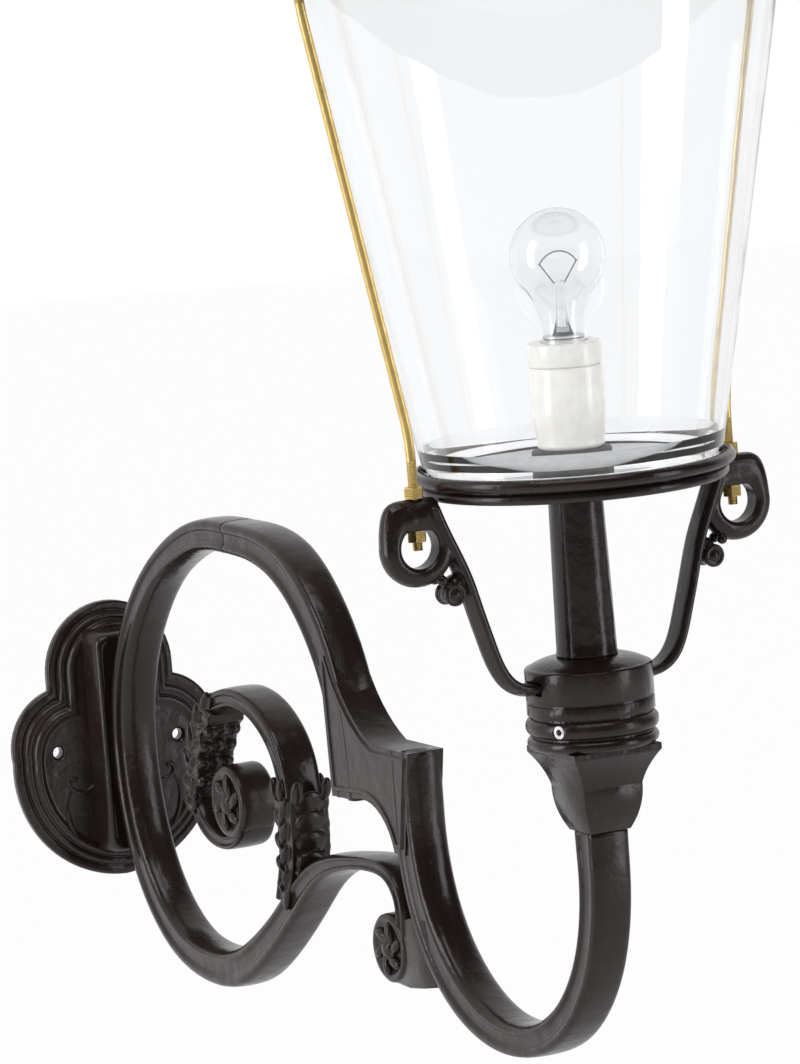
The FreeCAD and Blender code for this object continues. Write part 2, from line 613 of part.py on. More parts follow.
def make_collar_screws():
    """Three grub screws round the collar and the two screws that hold the arm feet."""
    grubs = []
    for number, angle in enumerate(grub_angles()):
        way = V(math.sin(angle), -math.cos(angle), 0)
        near = size("spigot_radius") - 0.6
        start = [str(near * way.x), str(near * way.y), "Dim.grub_level"]
        end = size("collar_radius") + 0.5
        socket_start = end - size("grub_socket")
        deep = [str(socket_start * way.x), str(socket_start * way.y), "Dim.grub_level"]
        screw = lying_drum("GrubScrew%d" % number, "Dim.grub_radius", str(end - near), start, way)
        socket = lying_drum("GrubSocket%d" % number, "Dim.grub_radius / 2", "Dim.grub_socket + 1", deep, way)
        grubs.append(cut("Grub%d" % number, screw, socket))
    keep(group("GrubScrews", *grubs), "grub_screws", True)
    screws = []
    for number, hand in enumerate(("-", "")):
        place = hand + "Dim.foot_screw_reach"
        shank = drum("FootShank%d" % number, "Dim.foot_screw_radius",
                     "Dim.foot_level - Dim.foot_head_foot - 2", "Dim.foot_head_foot + 3", place)
        head = drum("FootHead%d" % number, "2 * Dim.foot_screw_radius - 0.4", "Dim.foot_head_height",
                    "Dim.foot_head_foot", place)
        screws.append(fuse("FootScrew%d" % number, shank, head))
    keep(group("FootScrews", *screws), "foot_screws", True)


# Stations of the left arm from its foot in the collar to its ear: (reach, level, thickness). The last five
# are measured from the eye, and the bend before them takes shares of the way out from the collar's rim.
THICK = size("arm_thick")
FOOT = size("foot_level")
EYE_REACH = size("eye_centre")
EYE_LEVEL = size("eye_level")
RIM = size("collar_radius")
BEND = EYE_REACH - 36.5 - RIM
ARM = [(size("foot_reach"), FOOT, THICK), (size("foot_screw_reach"), FOOT, THICK), (RIM, FOOT, THICK),
       (RIM + 0.219 * BEND, FOOT + 1, THICK), (RIM + 0.466 * BEND, FOOT + 6, THICK),
       (RIM + 0.685 * BEND, FOOT + 18, THICK), (RIM + 0.836 * BEND, FOOT + 34, THICK),
       (RIM + BEND, EYE_LEVEL - 44, THICK), (EYE_REACH - 30, EYE_LEVEL - 22, THICK),
       (EYE_REACH - 22.5, EYE_LEVEL - 4, THICK), (EYE_REACH - 15, EYE_LEVEL + 13, THICK + 0.5),
       (EYE_REACH - 9.5, EYE_LEVEL + 26, THICK + 1)]


def make_arms():
    """Left stirrup arm and its mirror image: flat foot, sloping strap, eye-ring ear and curled knob."""
    width = size("arm_width")
    ear = size("ear_width")
    reach = size("eye_centre")
    level = size("eye_level")
    top = size("ear_top")
    strap = across_wall(strip_face(ARM), width)
    round_ear = Part.makeCylinder(size("ear_radius"), ear, V(-ear / 2, -reach, level), V(1, 0, 0))
    shoulder = across_wall(side_face([
        (reach - 14, top), (reach + 18, top), (reach + 23.5, level + 19), (reach + 24, level),
        (reach, level - 7), (reach - 17, level + 7)]), ear)
    knob_reach = size("knob_reach")
    knob_level = size("knob_level")
    knob = Part.makeCylinder(size("knob_radius"), width + 1, V(-(width + 1) / 2, -knob_reach, knob_level),
                             V(1, 0, 0))
    solid = strap.fuse(round_ear).fuse(shoulder).fuse(knob)
    eye = Part.makeCylinder(size("eye_radius"), ear + 6, V(-ear / 2 - 3, -reach, level), V(1, 0, 0))
    eye = eye.cut(space_above(size("eye_flat"), reach))
    dimple = Part.makeCylinder(size("knob_radius") * 0.4, width + 3,
                               V(-(width + 3) / 2, -knob_reach, knob_level), V(1, 0, 0))
    solid = solid.cut(space_above(top, reach)).cut(eye).removeSplitter()
    core = Part.makeBox(width + 1 - 2 * size("dimple_depth"), 40, 40,
                        V(-(width + 1) / 2 + size("dimple_depth"), -knob_reach - 20, knob_level - 20))
    solid = solid.cut(dimple.cut(core))
    solid.rotate(V(0, 0, 0), V(0, 0, 1), -90)
    rod_hole = Part.makeCylinder(size("tie_radius") + 0.2, 30, V(-size("tie_reach"), 0, size("eye_flat") - 6))
    screw_hole = Part.makeCylinder(size("foot_screw_radius"), 6,
                                   V(-size("foot_screw_reach"), 0, size("foot_level") - 5))
    left = shaped("LeftArm", solid.cut(rod_hole).cut(screw_hole))
    keep(left, "left_arm")
    left.Placement.Base = V(0, -size("projection"), 0)
    right = mirrored("RightArm", left)
    keep(right, "right_arm")


def make_column():
    """Tapered column tube with the hollow threaded rod and nuts that draw the stack together."""
    crown = size("collar_crown")
    gallery = size("gallery_foot")
    bore = size("column_bore")
    wide = size("column_foot")
    narrow = size("column_top")
    tube = turned("ColumnTube", [(bore, crown), (wide, crown), (wide + 0.4, crown + 1.5, wide, crown + 3),
                                 (narrow, gallery - 3), (narrow + 0.4, gallery - 1.5, narrow, gallery),
                                 (bore, gallery)])
    keep(tube, "column_tube", True)
    bar = drum("RodBar", "Dim.rod_thread", "Dim.rod_end - Dim.rod_foot", "Dim.rod_foot")
    way = drum("RodWay", "Dim.rod_hollow", "Dim.rod_end - Dim.rod_foot", "Dim.rod_foot")
    keep(cut("Rod", bar, way), "hollow_rod", True)
    nuts = []
    for number, foot in enumerate(("Dim.collar_web - Dim.rod_nut_height", "Dim.glass_foot")):
        blank = hexagon("RodNutBlank%d" % number, "Dim.rod_nut_flats", "Dim.rod_nut_height", foot)
        hole = drum("RodNutHole%d" % number, "Dim.rod_thread", "Dim.rod_nut_height + 2", foot + " - 1")
        nuts.append(cut("RodNut%d" % number, blank, hole))
    keep(group("RodNuts", *nuts), "rod_nuts", True)


# ---------------------------------------------------------------- gallery, glass and rods

def make_gallery():
    """Two-tier gallery dish, the gasket under the glass and the pale plate inside it."""
    foot = size("gallery_foot")
    top = size("gallery_top")
    floor = size("gallery_floor")
    radius = size("gallery_radius")
    bore = size("rod_thread") + size("body_gap")
    dish = turned("Gallery", [
        (bore, foot), (radius - 7, foot), (radius - 4.5, foot + 3.2, radius - 6, foot + 6),
        (radius - 7.5, foot + 6.4), (radius - 7.5, foot + 7.6), (radius - 3, foot + 7.8),
        (radius, foot + 11.5, radius - 2.4, top - 0.4), (radius - 5, top), (radius - 5, floor),
        (bore, floor)])
    keep(dish, "gallery_dish", True)
    gasket = cut("GasketRing", drum("GasketDisc", "Dim.gallery_radius - 5.2", "Dim.gasket_thick",
                                    "Dim.gallery_floor"),
                 drum("GasketHole", "Dim.glass_foot_radius - 9.5", "10", "Dim.gallery_floor - 2"))
    keep(gasket, "glass_gasket", True)
    plate = cut("PlateRing", drum("PlateDisc", "Dim.glass_foot_radius - 10", "Dim.gasket_thick",
                                  "Dim.gallery_floor"),
                drum("PlateHole", "Dim.rod_thread + 0.3", "10", "Dim.gallery_floor - 2"))
    keep(plate, "reflector_plate", True)


def make_glass():
    """Tapered clear glass, open at both ends, with a thick moulded foot."""
    foot = size("glass_foot")
    low = size("glass_foot_radius")
    top = size("glass_top")
    high = size("glass_top_radius")
    wall = size("glass_wall")
    slope = (high - low) / (top - foot)
    keep(turned("Glass", [
        (low - 8, foot), (low - 1, foot), (low + slope * 2, foot + 2), (high, top - 1.5),
        (high - wall / 2, top, high - wall, top - 1.5), (low - wall + slope * 16, foot + 16),
        (low - 5.5, foot + 9, low - 8, foot + 6)]), "glass_cone", True)


def tie_rod_shape():
    """Left tie rod: upright through the ear, sloping along the glass, upright through the top lug."""
    low = size("tie_reach")
    high = size("tie_top_reach")
    points = [V(-low, 0, size("tie_foot")), V(-low, 0, size("tie_bend")), V(-high, 0, size("tie_top_bend")),
              V(-high, 0, size("tie_end"))]
    slope = (points[2] - points[1]).normalize()
    bend = 14
    low_in = points[1] - V(0, 0, bend)
    low_out = points[1] + slope * bend
    high_in = points[2] - slope * bend
    high_out = points[2] + V(0, 0, bend)
    low_middle = arc_middle(low_in, points[1], low_out)
    high_middle = arc_middle(high_in, points[2], high_out)
    path = Part.Wire([
        Part.makeLine(points[0], low_in),
        Part.Arc(low_in, low_middle, low_out).toShape(),
        Part.makeLine(low_out, high_in),
        Part.Arc(high_in, high_middle, high_out).toShape(),
        Part.makeLine(high_out, points[3])])
    ring = Part.Wire(Part.makeCircle(size("tie_radius"), points[0], V(0, 0, 1)))
    return path.makePipeShell([ring], True, True)


def arc_middle(start, corner, end):
    """Middle point of the round from start to end, tangent to the two lines that meet at the corner."""
    chord_middle = (start + end) * 0.5
    tangent = (corner - start).Length
    to_corner = (corner - chord_middle).Length
    half_chord = (end - start).Length / 2
    radius = tangent * half_chord / to_corner if to_corner else 0
    centre = corner + (chord_middle - corner) * (math.hypot(radius, tangent) / to_corner)
    return centre + (corner - centre).normalize() * radius


def nut_pair(name, flats, height, foot, reach, bore):
    """Two hexagon nuts, one on each tie rod."""
    blank = hexagon(name + "Blank", flats, height, foot, "-" + reach)
    hole = drum(name + "Hole", bore, height + " + 2", foot + " - 1", "-" + reach)
    left = cut(name + "Left", blank, hole)
    return group(name, left, mirrored(name + "Right", left))


def make_tie_rods():
    """Brass tie rods and their nuts at the ears and at the top lugs."""
    left = shaped("LeftTieRod", tie_rod_shape())
    keep(left, "left_tie_rod")
    left.Placement.Base = V(0, -size("projection"), 0)
    keep(mirrored("RightTieRod", left), "right_tie_rod")
    rows = (
        ("EarNuts", "ear_nuts", "Dim.ear_top", "Dim.tie_reach"),
        ("EyeNuts", "eye_nuts", "Dim.eye_flat - Dim.nut_height", "Dim.tie_reach"),
        ("LugUnderNuts", "lug_under_nuts", "Dim.lug_foot - Dim.nut_height", "Dim.tie_top_reach"),
    )
    for name, label, foot, reach in rows:
        keep(nut_pair(name, "Dim.nut_flats", "Dim.nut_height", foot, reach, "Dim.tie_radius"), label, True)
    hexes = hexagon("AcornHex", "Dim.nut_flats", "6", "Dim.lug_top", "-Dim.tie_top_reach")
    cap = doc.addObject("Part::Sphere", "AcornDome")
    cap.setExpression("Radius", "Dim.nut_flats / 2 - 0.4")
    cap.setExpression("Placement.Base.x", "-Dim.tie_top_reach")
    cap.setExpression("Placement.Base.z", "Dim.lug_top + 5.5")
    hole = drum("AcornHole", "Dim.tie_radius", "7.5", "Dim.lug_top - 0.5", "-Dim.tie_top_reach")
    left = cut("AcornLeft", fuse("AcornBlank", hexes, cap), hole)
    keep(group("AcornNuts", left, mirrored("AcornRight", left)), "acorn_nuts", True)


# ---------------------------------------------------------------- lamp holder and bulb

def make_holder():
    """Porcelain holder in two pieces on a dark seat, with its screw shell and spring contact."""
    glass_foot = size("glass_foot")
    seat_top = size("seat_top")
    radius = size("holder_radius")
    split = size("holder_split")
    top = size("holder_top")
    seat_radius = size("seat_radius")
    seat = turned("Seat", [
        (9, glass_foot), (seat_radius, glass_foot), (seat_radius, seat_top - 2),
        (seat_radius - 0.6, seat_top - 0.6, seat_radius - 2, seat_top), (9, seat_top)])
    keep(seat, "holder_seat", True)
    shell = size("shell_foot")
    bore = size("holder_bore")
    body = turned("HolderBody", [
        (5, seat_top), (radius - 4, seat_top), (radius - 2.4, seat_top + 1.2, radius - 2, seat_top + 4),
        (radius, seat_top + 24), (radius, split - 1), (radius - 1, split), (bore, split), (bore, shell),
        (8, shell), (8, shell - 5), (bore - 0.6, shell - 5), (bore - 0.6, shell - 18), (5, shell - 18)])
    keep(body, "holder_body", True)
    ring = turned("HolderRing", [
        (bore, split), (radius - 1, split), (radius, split + 1), (radius, top - 2),
        (radius - 0.5, top - 0.5, radius - 2, top), (bore - 0.2, top), (bore - 1, top - 1),
        (bore - 1, top - 3), (bore, top - 3)])
    keep(ring, "holder_ring", True)
    threads = shell_thread(size("shell_radius"), size("shell_bore"), shell, top - 3)
    keep(turned("ScrewShell", threads), "screw_shell", True)
    contact = size("tip_foot") - size("tip_gap")
    bar = turned("ContactStrip", [(0, shell - 2), (6, shell - 2), (6, shell - 0.5),
                                  (3.5, (shell + contact) / 2 + 0.2, 2.2, contact), (0, contact)])
    keep(bar, "centre_contact", True)


def shell_thread(outer, crest, foot, top):
    """Outline of a shell whose bore carries rounded rings at the thread pitch."""
    pitch = size("thread_pitch")
    outline = [(crest + 0.6, foot), (outer, foot), (outer, top), (crest + 0.6, top)]
    rings = int((top - foot - 2) / pitch)
    for number in range(rings):
        level = top - 1 - number * pitch
        outline.append((crest + 0.6, level))
        outline.append((crest, level - pitch / 2 + 0.2, crest + 0.6, level - pitch + 0.4))
    return outline


def make_bulb():
    """Clear bulb: threaded cap, contact tip, envelope, stem and filament."""
    cap_foot = size("cap_foot")
    cap_top = size("cap_top")
    crest = size("cap_radius")
    pitch = size("thread_pitch")
    outline = [(0, cap_foot), (crest - 1.4, cap_foot)]
    level = cap_foot + 0.6
    while level + pitch < cap_top - 2:
        outline.append((crest - 0.7, level))
        outline.append((crest, level + pitch / 2 - 0.2, crest - 0.7, level + pitch - 0.4))
        level += pitch
    outline += [(crest - 0.7, cap_top - 2), (crest, cap_top - 1), (crest, cap_top), (0, cap_top)]
    keep(turned("BulbCap", outline), "bulb_cap", True)
    tip = size("tip_foot")
    keep(turned("BulbInsulator", [(0, tip + 1), (4.5, tip + 1), (10.5, tip + 2.6), (crest - 1.4, cap_foot),
                                  (0, cap_foot)]), "bulb_insulator", True)
    keep(turned("BulbTip", [(0, tip), (2.6, tip), (4, tip + 1), (0, tip + 1)]), "bulb_contact", True)
    keep(turned("BulbGlass", envelope_outline(cap_top)), "bulb_glass", True)
    head = cap_top + 32.5
    stem = turned("BulbStem", [
        (0, cap_top), (7, cap_top), (4, cap_top + 9, 3, cap_top + 16), (2.2, head - 2.5),
        (3.2, head, 1.4, head + 2), (0, head + 2)])
    keep(stem, "bulb_stem", True)
    keep(shaped("BulbFilament", filament_shape(V(0, 0, head))), "bulb_filament", True)


def filament_shape(stem_top):
    """Fine wire: two leads spreading from the stem's head, and the coiled arch between their ends."""
    wire = 0.45
    lead_root = 3.7
    spread = 13
    level = size("globe_level") - 4
    arch = Part.Arc(V(-spread, 0, level), V(0, 0, level + 7), V(spread, 0, level))
    ring = Part.Wire(Part.makeCircle(wire, V(-spread, 0, level), arch.tangent(arch.FirstParameter)[0]))
    shape = Part.Wire(arch.toShape()).makePipeShell([ring], True, True)
    for hand in (-1, 1):
        end = V(hand * spread, 0, level)
        start = stem_top + V(hand * lead_root, 0, 0)
        lead = Part.makeCylinder(wire, (end - start).Length, start, end - start)
        shape = shape.fuse(lead).fuse(Part.makeSphere(1.5 * wire, end))
    return shape.removeSplitter()


def envelope_outline(foot):
    """Wall of the bulb's envelope: neck, swelling cone and globe, with an even thin wall."""
    wall = size("bulb_wall")
    globe = size("globe_radius")
    level = size("globe_level")
    neck = size("cap_radius") - 0.6
    shoulder = math.radians(-38)

    def arc_point(radius, angle):
        return (radius * math.cos(angle), level + radius * math.sin(angle))

    outer_shoulder = arc_point(globe, shoulder)
    inner_shoulder = arc_point(globe - wall, shoulder)
    return [
        (neck - wall, foot), (neck, foot), (neck + 0.4, foot + 8),
        ((neck + outer_shoulder[0]) / 2 - 1.2, (foot + 8 + outer_shoulder[1]) / 2 + 1) + outer_shoulder,
        arc_point(globe, math.radians(20)) + (0, level + globe), (0, level + globe - wall),
        arc_point(globe - wall, math.radians(20)) + inner_shoulder,
        ((neck + outer_shoulder[0]) / 2 - 2, (foot + 8 + outer_shoulder[1]) / 2 + 1)
        + (neck + 0.4 - wall, foot + 8)]


# ---------------------------------------------------------------- top ring and hood

def make_top_ring():
    """Ring over the glass with lugs for the tie rods and knuckles for the hood."""
    foot = size("ring_foot")
    top = size("ring_top")
    bore = size("ring_bore")
    radius = size("ring_radius")
    lip = size("lip_foot")
    lip_bore = radius - size("lip_wall")
    blank = turned("RingBlank", [
        (bore, foot), (lip_bore, foot), (lip_bore, lip), (radius, lip), (radius, top - 2),
        (radius - 0.6, top - 0.6, radius - 2, top), (bore, top)])
    members = [blank]
    for number, hand in enumerate((-1, 1)):
        start = "-Dim.lug_reach" if hand < 0 else "Dim.ring_radius - 2"
        members.append(block("RodLug%d" % number, ("Dim.lug_reach - Dim.ring_radius + 2", "Dim.lug_width",
                                                   "Dim.lug_top - Dim.lug_foot"),
                             (start, "-Dim.lug_width / 2", "Dim.lug_foot")))
        inner = "-Dim.leaf_width / 2 - Dim.body_gap - Dim.knuckle_width" if hand < 0 \
            else "Dim.leaf_width / 2 + Dim.body_gap"
        members.append(lying_drum("RingKnuckle%d" % number, "Dim.knuckle_radius", "Dim.knuckle_width",
                                  (inner, "Dim.hinge_reach", "Dim.hinge_level"), V(1, 0, 0)))
        members.append(block("KnuckleLug%d" % number, ("Dim.knuckle_width",
                                                       "Dim.hinge_reach - Dim.ring_radius + 6",
                                                       "Dim.ring_thick - 0.7"),
                             (inner, "Dim.ring_radius - 3", "Dim.hinge_level - 13")))
    tools = [lying_drum("PinHole", "Dim.hinge_pin", "80", ("-40", "Dim.hinge_reach", "Dim.hinge_level"),
                        V(1, 0, 0))]
    for number, hand in enumerate(("-", "")):
        tools.append(drum("LugHole%d" % number, "Dim.tie_radius + 0.2", "30", "Dim.lug_foot - 10",
                          hand + "Dim.tie_top_reach"))
    keep(cut("TopRing", fuse("RingWithLugs", *members), *tools), "top_ring", True)
    disc = drum("TopGasketDisc", "Dim.glass_top_radius + 1.5", "Dim.ring_foot - Dim.glass_top",
                "Dim.glass_top")
    hole = drum("TopGasketHole", "Dim.glass_top_radius - 9", "10", "Dim.glass_top - 3")
    keep(cut("TopGasketRing", disc, hole), "top_gasket", True)
    pin = lying_drum("HingePin", "Dim.hinge_pin", "Dim.leaf_width + 2 * Dim.knuckle_width + 4",
                     ("-Dim.leaf_width / 2 - Dim.knuckle_width - 2", "Dim.hinge_reach - Dim.projection",
                      "Dim.hinge_level"), V(1, 0, 0))
    keep(pin, "hinge_pin")


def make_hood():
    """Spun hood on its curb, with the hinge leaf at the wall side."""
    radius = size("hood_radius")
    foot = size("hood_foot")
    wall = size("hood_wall")
    neck = size("neck_radius")
    peak = size("neck_foot")
    shoulder = peak - 32
    hood = turned("Hood", [
        (radius - 2 * wall, foot), (radius, foot), (radius + 0.5, foot + 3, radius, foot + 6),
        (radius - 36, shoulder - 15, radius - 76, shoulder), (neck + 32, peak - 20, neck + 3, peak),
        (neck, peak),
        (neck, peak - wall), (neck + 31, peak - 22 - wall, radius - 76.6, shoulder - wall),
        (radius - 37, shoulder - 15 - wall, radius - 2 * wall, foot + 5)])
    keep(hood, "hood_shell", True)
    outer = size("curb_radius")
    inner = outer - size("curb_wall")
    low = size("ring_top") + size("body_gap")
    curb = turned("Curb", [(inner, low), (outer, low), (outer, shoulder - 15.8), (inner, shoulder - 14.8)])
    keep(curb, "hood_curb", True)
    knuckle = lying_drum("LeafKnuckle", "Dim.knuckle_radius", "Dim.leaf_width",
                         ("-Dim.leaf_width / 2", "Dim.hinge_reach", "Dim.hinge_level"), V(1, 0, 0))
    web = block("LeafWeb", ("Dim.leaf_width", "Dim.hinge_reach - Dim.curb_radius", "4"),
                ("-Dim.leaf_width / 2", "Dim.curb_radius", "Dim.hinge_level + 1"))
    plate = block("LeafPlate", ("Dim.leaf_width", "3", "18"),
                  ("-Dim.leaf_width / 2", "Dim.curb_radius", "Dim.hinge_level - 2"))
    curb_core = drum("LeafCurbCore", "Dim.curb_radius", "60", "Dim.ring_top - 10")
    bore = lying_drum("LeafBore", "Dim.hinge_pin + Dim.fit_gap", "60",
                      ("-30", "Dim.hinge_reach", "Dim.hinge_level"), V(1, 0, 0))
    keep(cut("HingeLeaf", fuse("LeafBlank", knuckle, web, plate), bore, curb_core), "hinge_leaf", True)


def make_ventilator():
    """Perforated neck, domed rain cap and turned finial."""
    neck = size("neck_radius")
    foot = size("neck_foot")
    top = size("neck_top")
    tube = turned("NeckTube", [
        (neck - 2, foot - 4), (neck, foot - 4), (neck, foot), (neck + 8, foot), (neck + 8, foot + 2),
        (neck + 1, foot + 3.5), (neck, foot + 5), (neck, top), (neck - 2, top)])
    holes = []
    for number in range(int(size("vent_count"))):
        angle = number * math.tau / size("vent_count")
        holes.append(lying_drum("VentHole%d" % number, "Dim.vent_bore / 2", "Dim.neck_radius + 20",
                                ("0", "0", "Dim.neck_top - 9"), V(math.cos(angle), math.sin(angle), 0)))
    keep(cut("VentNeck", tube, *holes), "vent_neck", True)
    cap = turned("VentCap", [
        (0, top), (neck + 2, top), (neck + 2, top - 3), (neck + 14, top - 4), (neck + 18, top - 4),
        (neck + 19, top - 2, neck + 18, top), (neck - 4, top + 14, 12, top + 22), (0, top + 22)])
    keep(cap, "vent_cap", True)
    base = top + 22
    finial = turned("Finial", [
        (0, base), (11, base), (12.5, base + 2, 11, base + 4), (6, base + 6), (5, base + 12), (8, base + 14),
        (13, base + 24, 6, base + 33), (4, base + 36), (5.5, base + 40),
        (3.4, base + 46, 1, base + 52), (0, base + 52)])
    keep(finial, "finial", True)


make_wall_plate()
make_castings()
make_leaves()
make_plate_fittings()
make_capital()
make_collar()
make_collar_screws()
make_arms()
make_column()
make_gallery()
make_glass()
make_tie_rods()
make_holder()
make_bulb()
make_top_ring()
make_hood()
make_ventilator()
doc.recompute()

for item in doc.Objects:
    faults = [state for state in item.State if state in ("Invalid", "Error")]
    if faults:
        raise RuntimeError("%s did not build: %s" % (item.Name, faults))
for piece in finished:
    if piece.Shape.isNull() or not piece.Shape.isValid() or not piece.Shape.Solids:
        raise RuntimeError("%s has no sound solid" % piece.Label)
    piece.Shape.exportStep("parts/%s.step" % piece.Label)
print("%d sub-parts written" % len(finished))
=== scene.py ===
import bpy
import bmesh
import math
import numpy as np
from mathutils import Matrix, Vector


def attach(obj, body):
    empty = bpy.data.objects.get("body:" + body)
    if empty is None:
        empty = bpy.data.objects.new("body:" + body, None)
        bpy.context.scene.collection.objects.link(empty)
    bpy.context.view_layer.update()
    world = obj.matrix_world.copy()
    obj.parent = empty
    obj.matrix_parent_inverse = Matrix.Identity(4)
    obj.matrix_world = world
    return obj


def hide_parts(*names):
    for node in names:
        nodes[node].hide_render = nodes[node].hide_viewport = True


# Wall-mounted street lantern on a cast scroll bracket. Metres, +Z up, the wall is the plane Y = 0 and
# the lamp stands out toward -Y. Sizes are written in millimetres and scaled where a mesh is made.
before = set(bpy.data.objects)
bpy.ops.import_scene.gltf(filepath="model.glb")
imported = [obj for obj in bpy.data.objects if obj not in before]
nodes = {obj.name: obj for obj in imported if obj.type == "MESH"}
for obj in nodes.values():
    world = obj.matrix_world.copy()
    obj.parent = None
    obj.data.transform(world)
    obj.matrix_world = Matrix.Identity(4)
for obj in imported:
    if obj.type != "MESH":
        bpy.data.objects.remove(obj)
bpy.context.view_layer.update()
MM = 0.001


# ---------------------------------------------------------------- wall plate
# Trefoil plate of cast aluminium, stepped in three rolled beads toward its edge, with a drafted boss in
# the middle that the scroll is bolted to from behind. Enamelled in a glossy brown black.

class Amount:
    """A number or colour that varies over a surface, so that a finish reads as plain arithmetic."""

    def __init__(self, finish, socket):
        self.finish = finish
        self.socket = socket

    def math(self, operation, *others):
        """What a named operation makes of this amount and others."""
        values = dict(enumerate((self,) + others))
        return self.finish.node("ShaderNodeMath", {"operation": operation}, values)

    def __add__(self, other):
        return self.math("ADD", other)

    def __sub__(self, other):
        return self.math("SUBTRACT", other)

    def __mul__(self, other):
        return self.math("MULTIPLY", other)

    def __rsub__(self, other):
        return self.finish.node("ShaderNodeMath", {"operation": "SUBTRACT"}, {0: other, 1: self})

    def __gt__(self, other):
        return self.math("GREATER_THAN", other)

    __radd__ = __add__
    __rmul__ = __mul__

    def ramp(self, low, high, start=0.0, end=1.0):
        """This amount stretched so that low becomes start and high becomes end, with soft shoulders."""
        span = {"interpolation_type": "SMOOTHSTEP"}
        values = {0: self, 1: low, 2: high, 3: start, 4: end}
        return self.finish.node("ShaderNodeMapRange", span, values)


class Finish:
    """A material under construction: one shader with constants, and amounts that vary over the surface."""

    def __init__(self, name, **constants):
        self.material = bpy.data.materials.new(name)
        self.material.use_nodes = True
        self.tree = self.material.node_tree
        self.shader = self.tree.nodes["Principled BSDF"]
        for word, value in constants.items():
            self.shader.inputs[word.replace("_", " ")].default_value = value

    def feed(self, socket, value):
        """Link an amount to a socket, or give the socket a plain value."""
        if isinstance(value, Amount):
            self.tree.links.new(value.socket, socket)
        else:
            socket.default_value = value

    def node(self, kind, settings, values, output=0):
        """One of a new node's outputs, from the node's type, its settings and what its sockets get."""
        made = self.tree.nodes.new(kind)
        for word, setting in settings.items():
            setattr(made, word, setting)
        for place, value in values.items():
            self.feed(made.inputs[place], value)
        return Amount(self, made.outputs[output])

    def where(self):
        """Place on the object, in metres."""
        return self.node("ShaderNodeTexCoord", {}, {}, "Object")

    def grain(self, span, detail=2.0, stretch=(1, 1, 1), shift=0.0):
        """Cloudy amount from 0 to 1 whose lumps are about span millimetres across."""
        scale = tuple(1 / (span * MM) * part for part in stretch)
        place = self.node("ShaderNodeVectorMath", {"operation": "MULTIPLY"}, {0: self.where(), 1: scale})
        moved = self.node("ShaderNodeVectorMath", {"operation": "ADD"}, {0: place, 1: (shift, shift, shift)})
        return self.node("ShaderNodeTexNoise", {}, {"Vector": moved, "Scale": 1.0, "Detail": detail})

    def cells(self, span):
        """Distance to the nearest of many scattered points, span millimetres apart."""
        return self.node("ShaderNodeTexVoronoi", {}, {"Vector": self.where(), "Scale": 1 / (span * MM)})

    def axis(self, word):
        """One coordinate of the place, in millimetres."""
        parts = self.node("ShaderNodeSeparateXYZ", {}, {0: self.where()}, word)
        return parts * (1 / MM)

    def mix(self, share, first, second):
        """Colour that goes from first to second as share goes from 0 to 1."""
        values = {0: share, 6: first, 7: second}
        return self.node("ShaderNodeMix", {"data_type": "RGBA"}, values, 2)

    def relief(self, *layers):
        """Bump layers of (height amount, depth in millimetres), stacked."""
        normal = None
        for height, depth in layers:
            values = {"Height": height, "Distance": depth * MM, "Strength": 1.0}
            if normal:
                values["Normal"] = normal
            normal = self.node("ShaderNodeBump", {}, values)
        self.feed(self.shader.inputs["Normal"], normal)

    def vary(self, word, value):
        """Let one of the shader's inputs follow an amount."""
        self.feed(self.shader.inputs[word], value)

    def coat(self, *pieces):
        """Put this finish on pieces: objects, or names of CAD nodes."""
        for piece in pieces:
            target = nodes[piece] if isinstance(piece, str) else piece
            if not target.material_slots:
                target.data.materials.append(self.material)
            for slot in target.material_slots:
                slot.material = self.material


ENAMEL_DARK = (0.0150, 0.0080, 0.0078, 1)
ENAMEL_WARM = (0.0230, 0.0135, 0.0130, 1)
DUST = (0.045, 0.036, 0.033, 1)


def enamel_patches(finish):
    """Broad patches in which the enamel goes from dark to warm."""
    return finish.grain(45, 4.0, shift=3.0).ramp(0.42, 0.68)


def make_enamel():
    """Glossy brown-black enamel over a sand casting: soft lumps, orange peel, pits and a little dust."""
    enamel = Finish("dark_paint", Coat_Weight=0.10, Coat_Roughness=0.08, Specular_IOR_Level=0.38)
    lumps = enamel.grain(16, 3.0)
    peel = enamel.grain(1.6, 2.0, shift=7.0)
    pits = enamel.cells(3.1).ramp(0.05, 0.16)
    patches = enamel_patches(enamel)
    fresh = enamel.mix(patches, ENAMEL_DARK, ENAMEL_WARM)
    dust = enamel.grain(7, 5.0, shift=19.0).ramp(0.60, 0.78)
    enamel.vary("Base Color", enamel.mix(dust * 0.35, fresh, DUST))
    enamel.vary("Roughness", 0.22 + patches * 0.08 + dust * 0.14)
    enamel.relief((lumps, 0.9), (peel, 0.035), (pits, 0.05))
    return enamel


enamel = make_enamel()


def spot(reach, level, across=0.0):
    """Point from its distance to the wall, its level and its place across, in millimetres."""
    return Vector((across, -reach, level)) * MM


def new_piece(name, mesh, body, finish=None):
    """Object from a bmesh, smooth shaded, riding on a body and taking a slot's finish."""
    data = bpy.data.meshes.new(name)
    bmesh.ops.recalc_face_normals(mesh, faces=mesh.faces)
    mesh.to_mesh(data)
    mesh.free()
    for face in data.polygons:
        face.use_smooth = True
    piece = bpy.data.objects.new(name, data)
    bpy.context.scene.collection.objects.link(piece)
    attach(piece, body)
    if finish:
        finish.coat(piece)
    return piece


def settle(piece):
    """Make a piece's modifiers part of its mesh."""
    view = bpy.context.evaluated_depsgraph_get()
    data = bpy.data.meshes.new_from_object(piece.evaluated_get(view))
    piece.modifiers.clear()
    piece.data = data
    for face in data.polygons:
        face.use_smooth = True


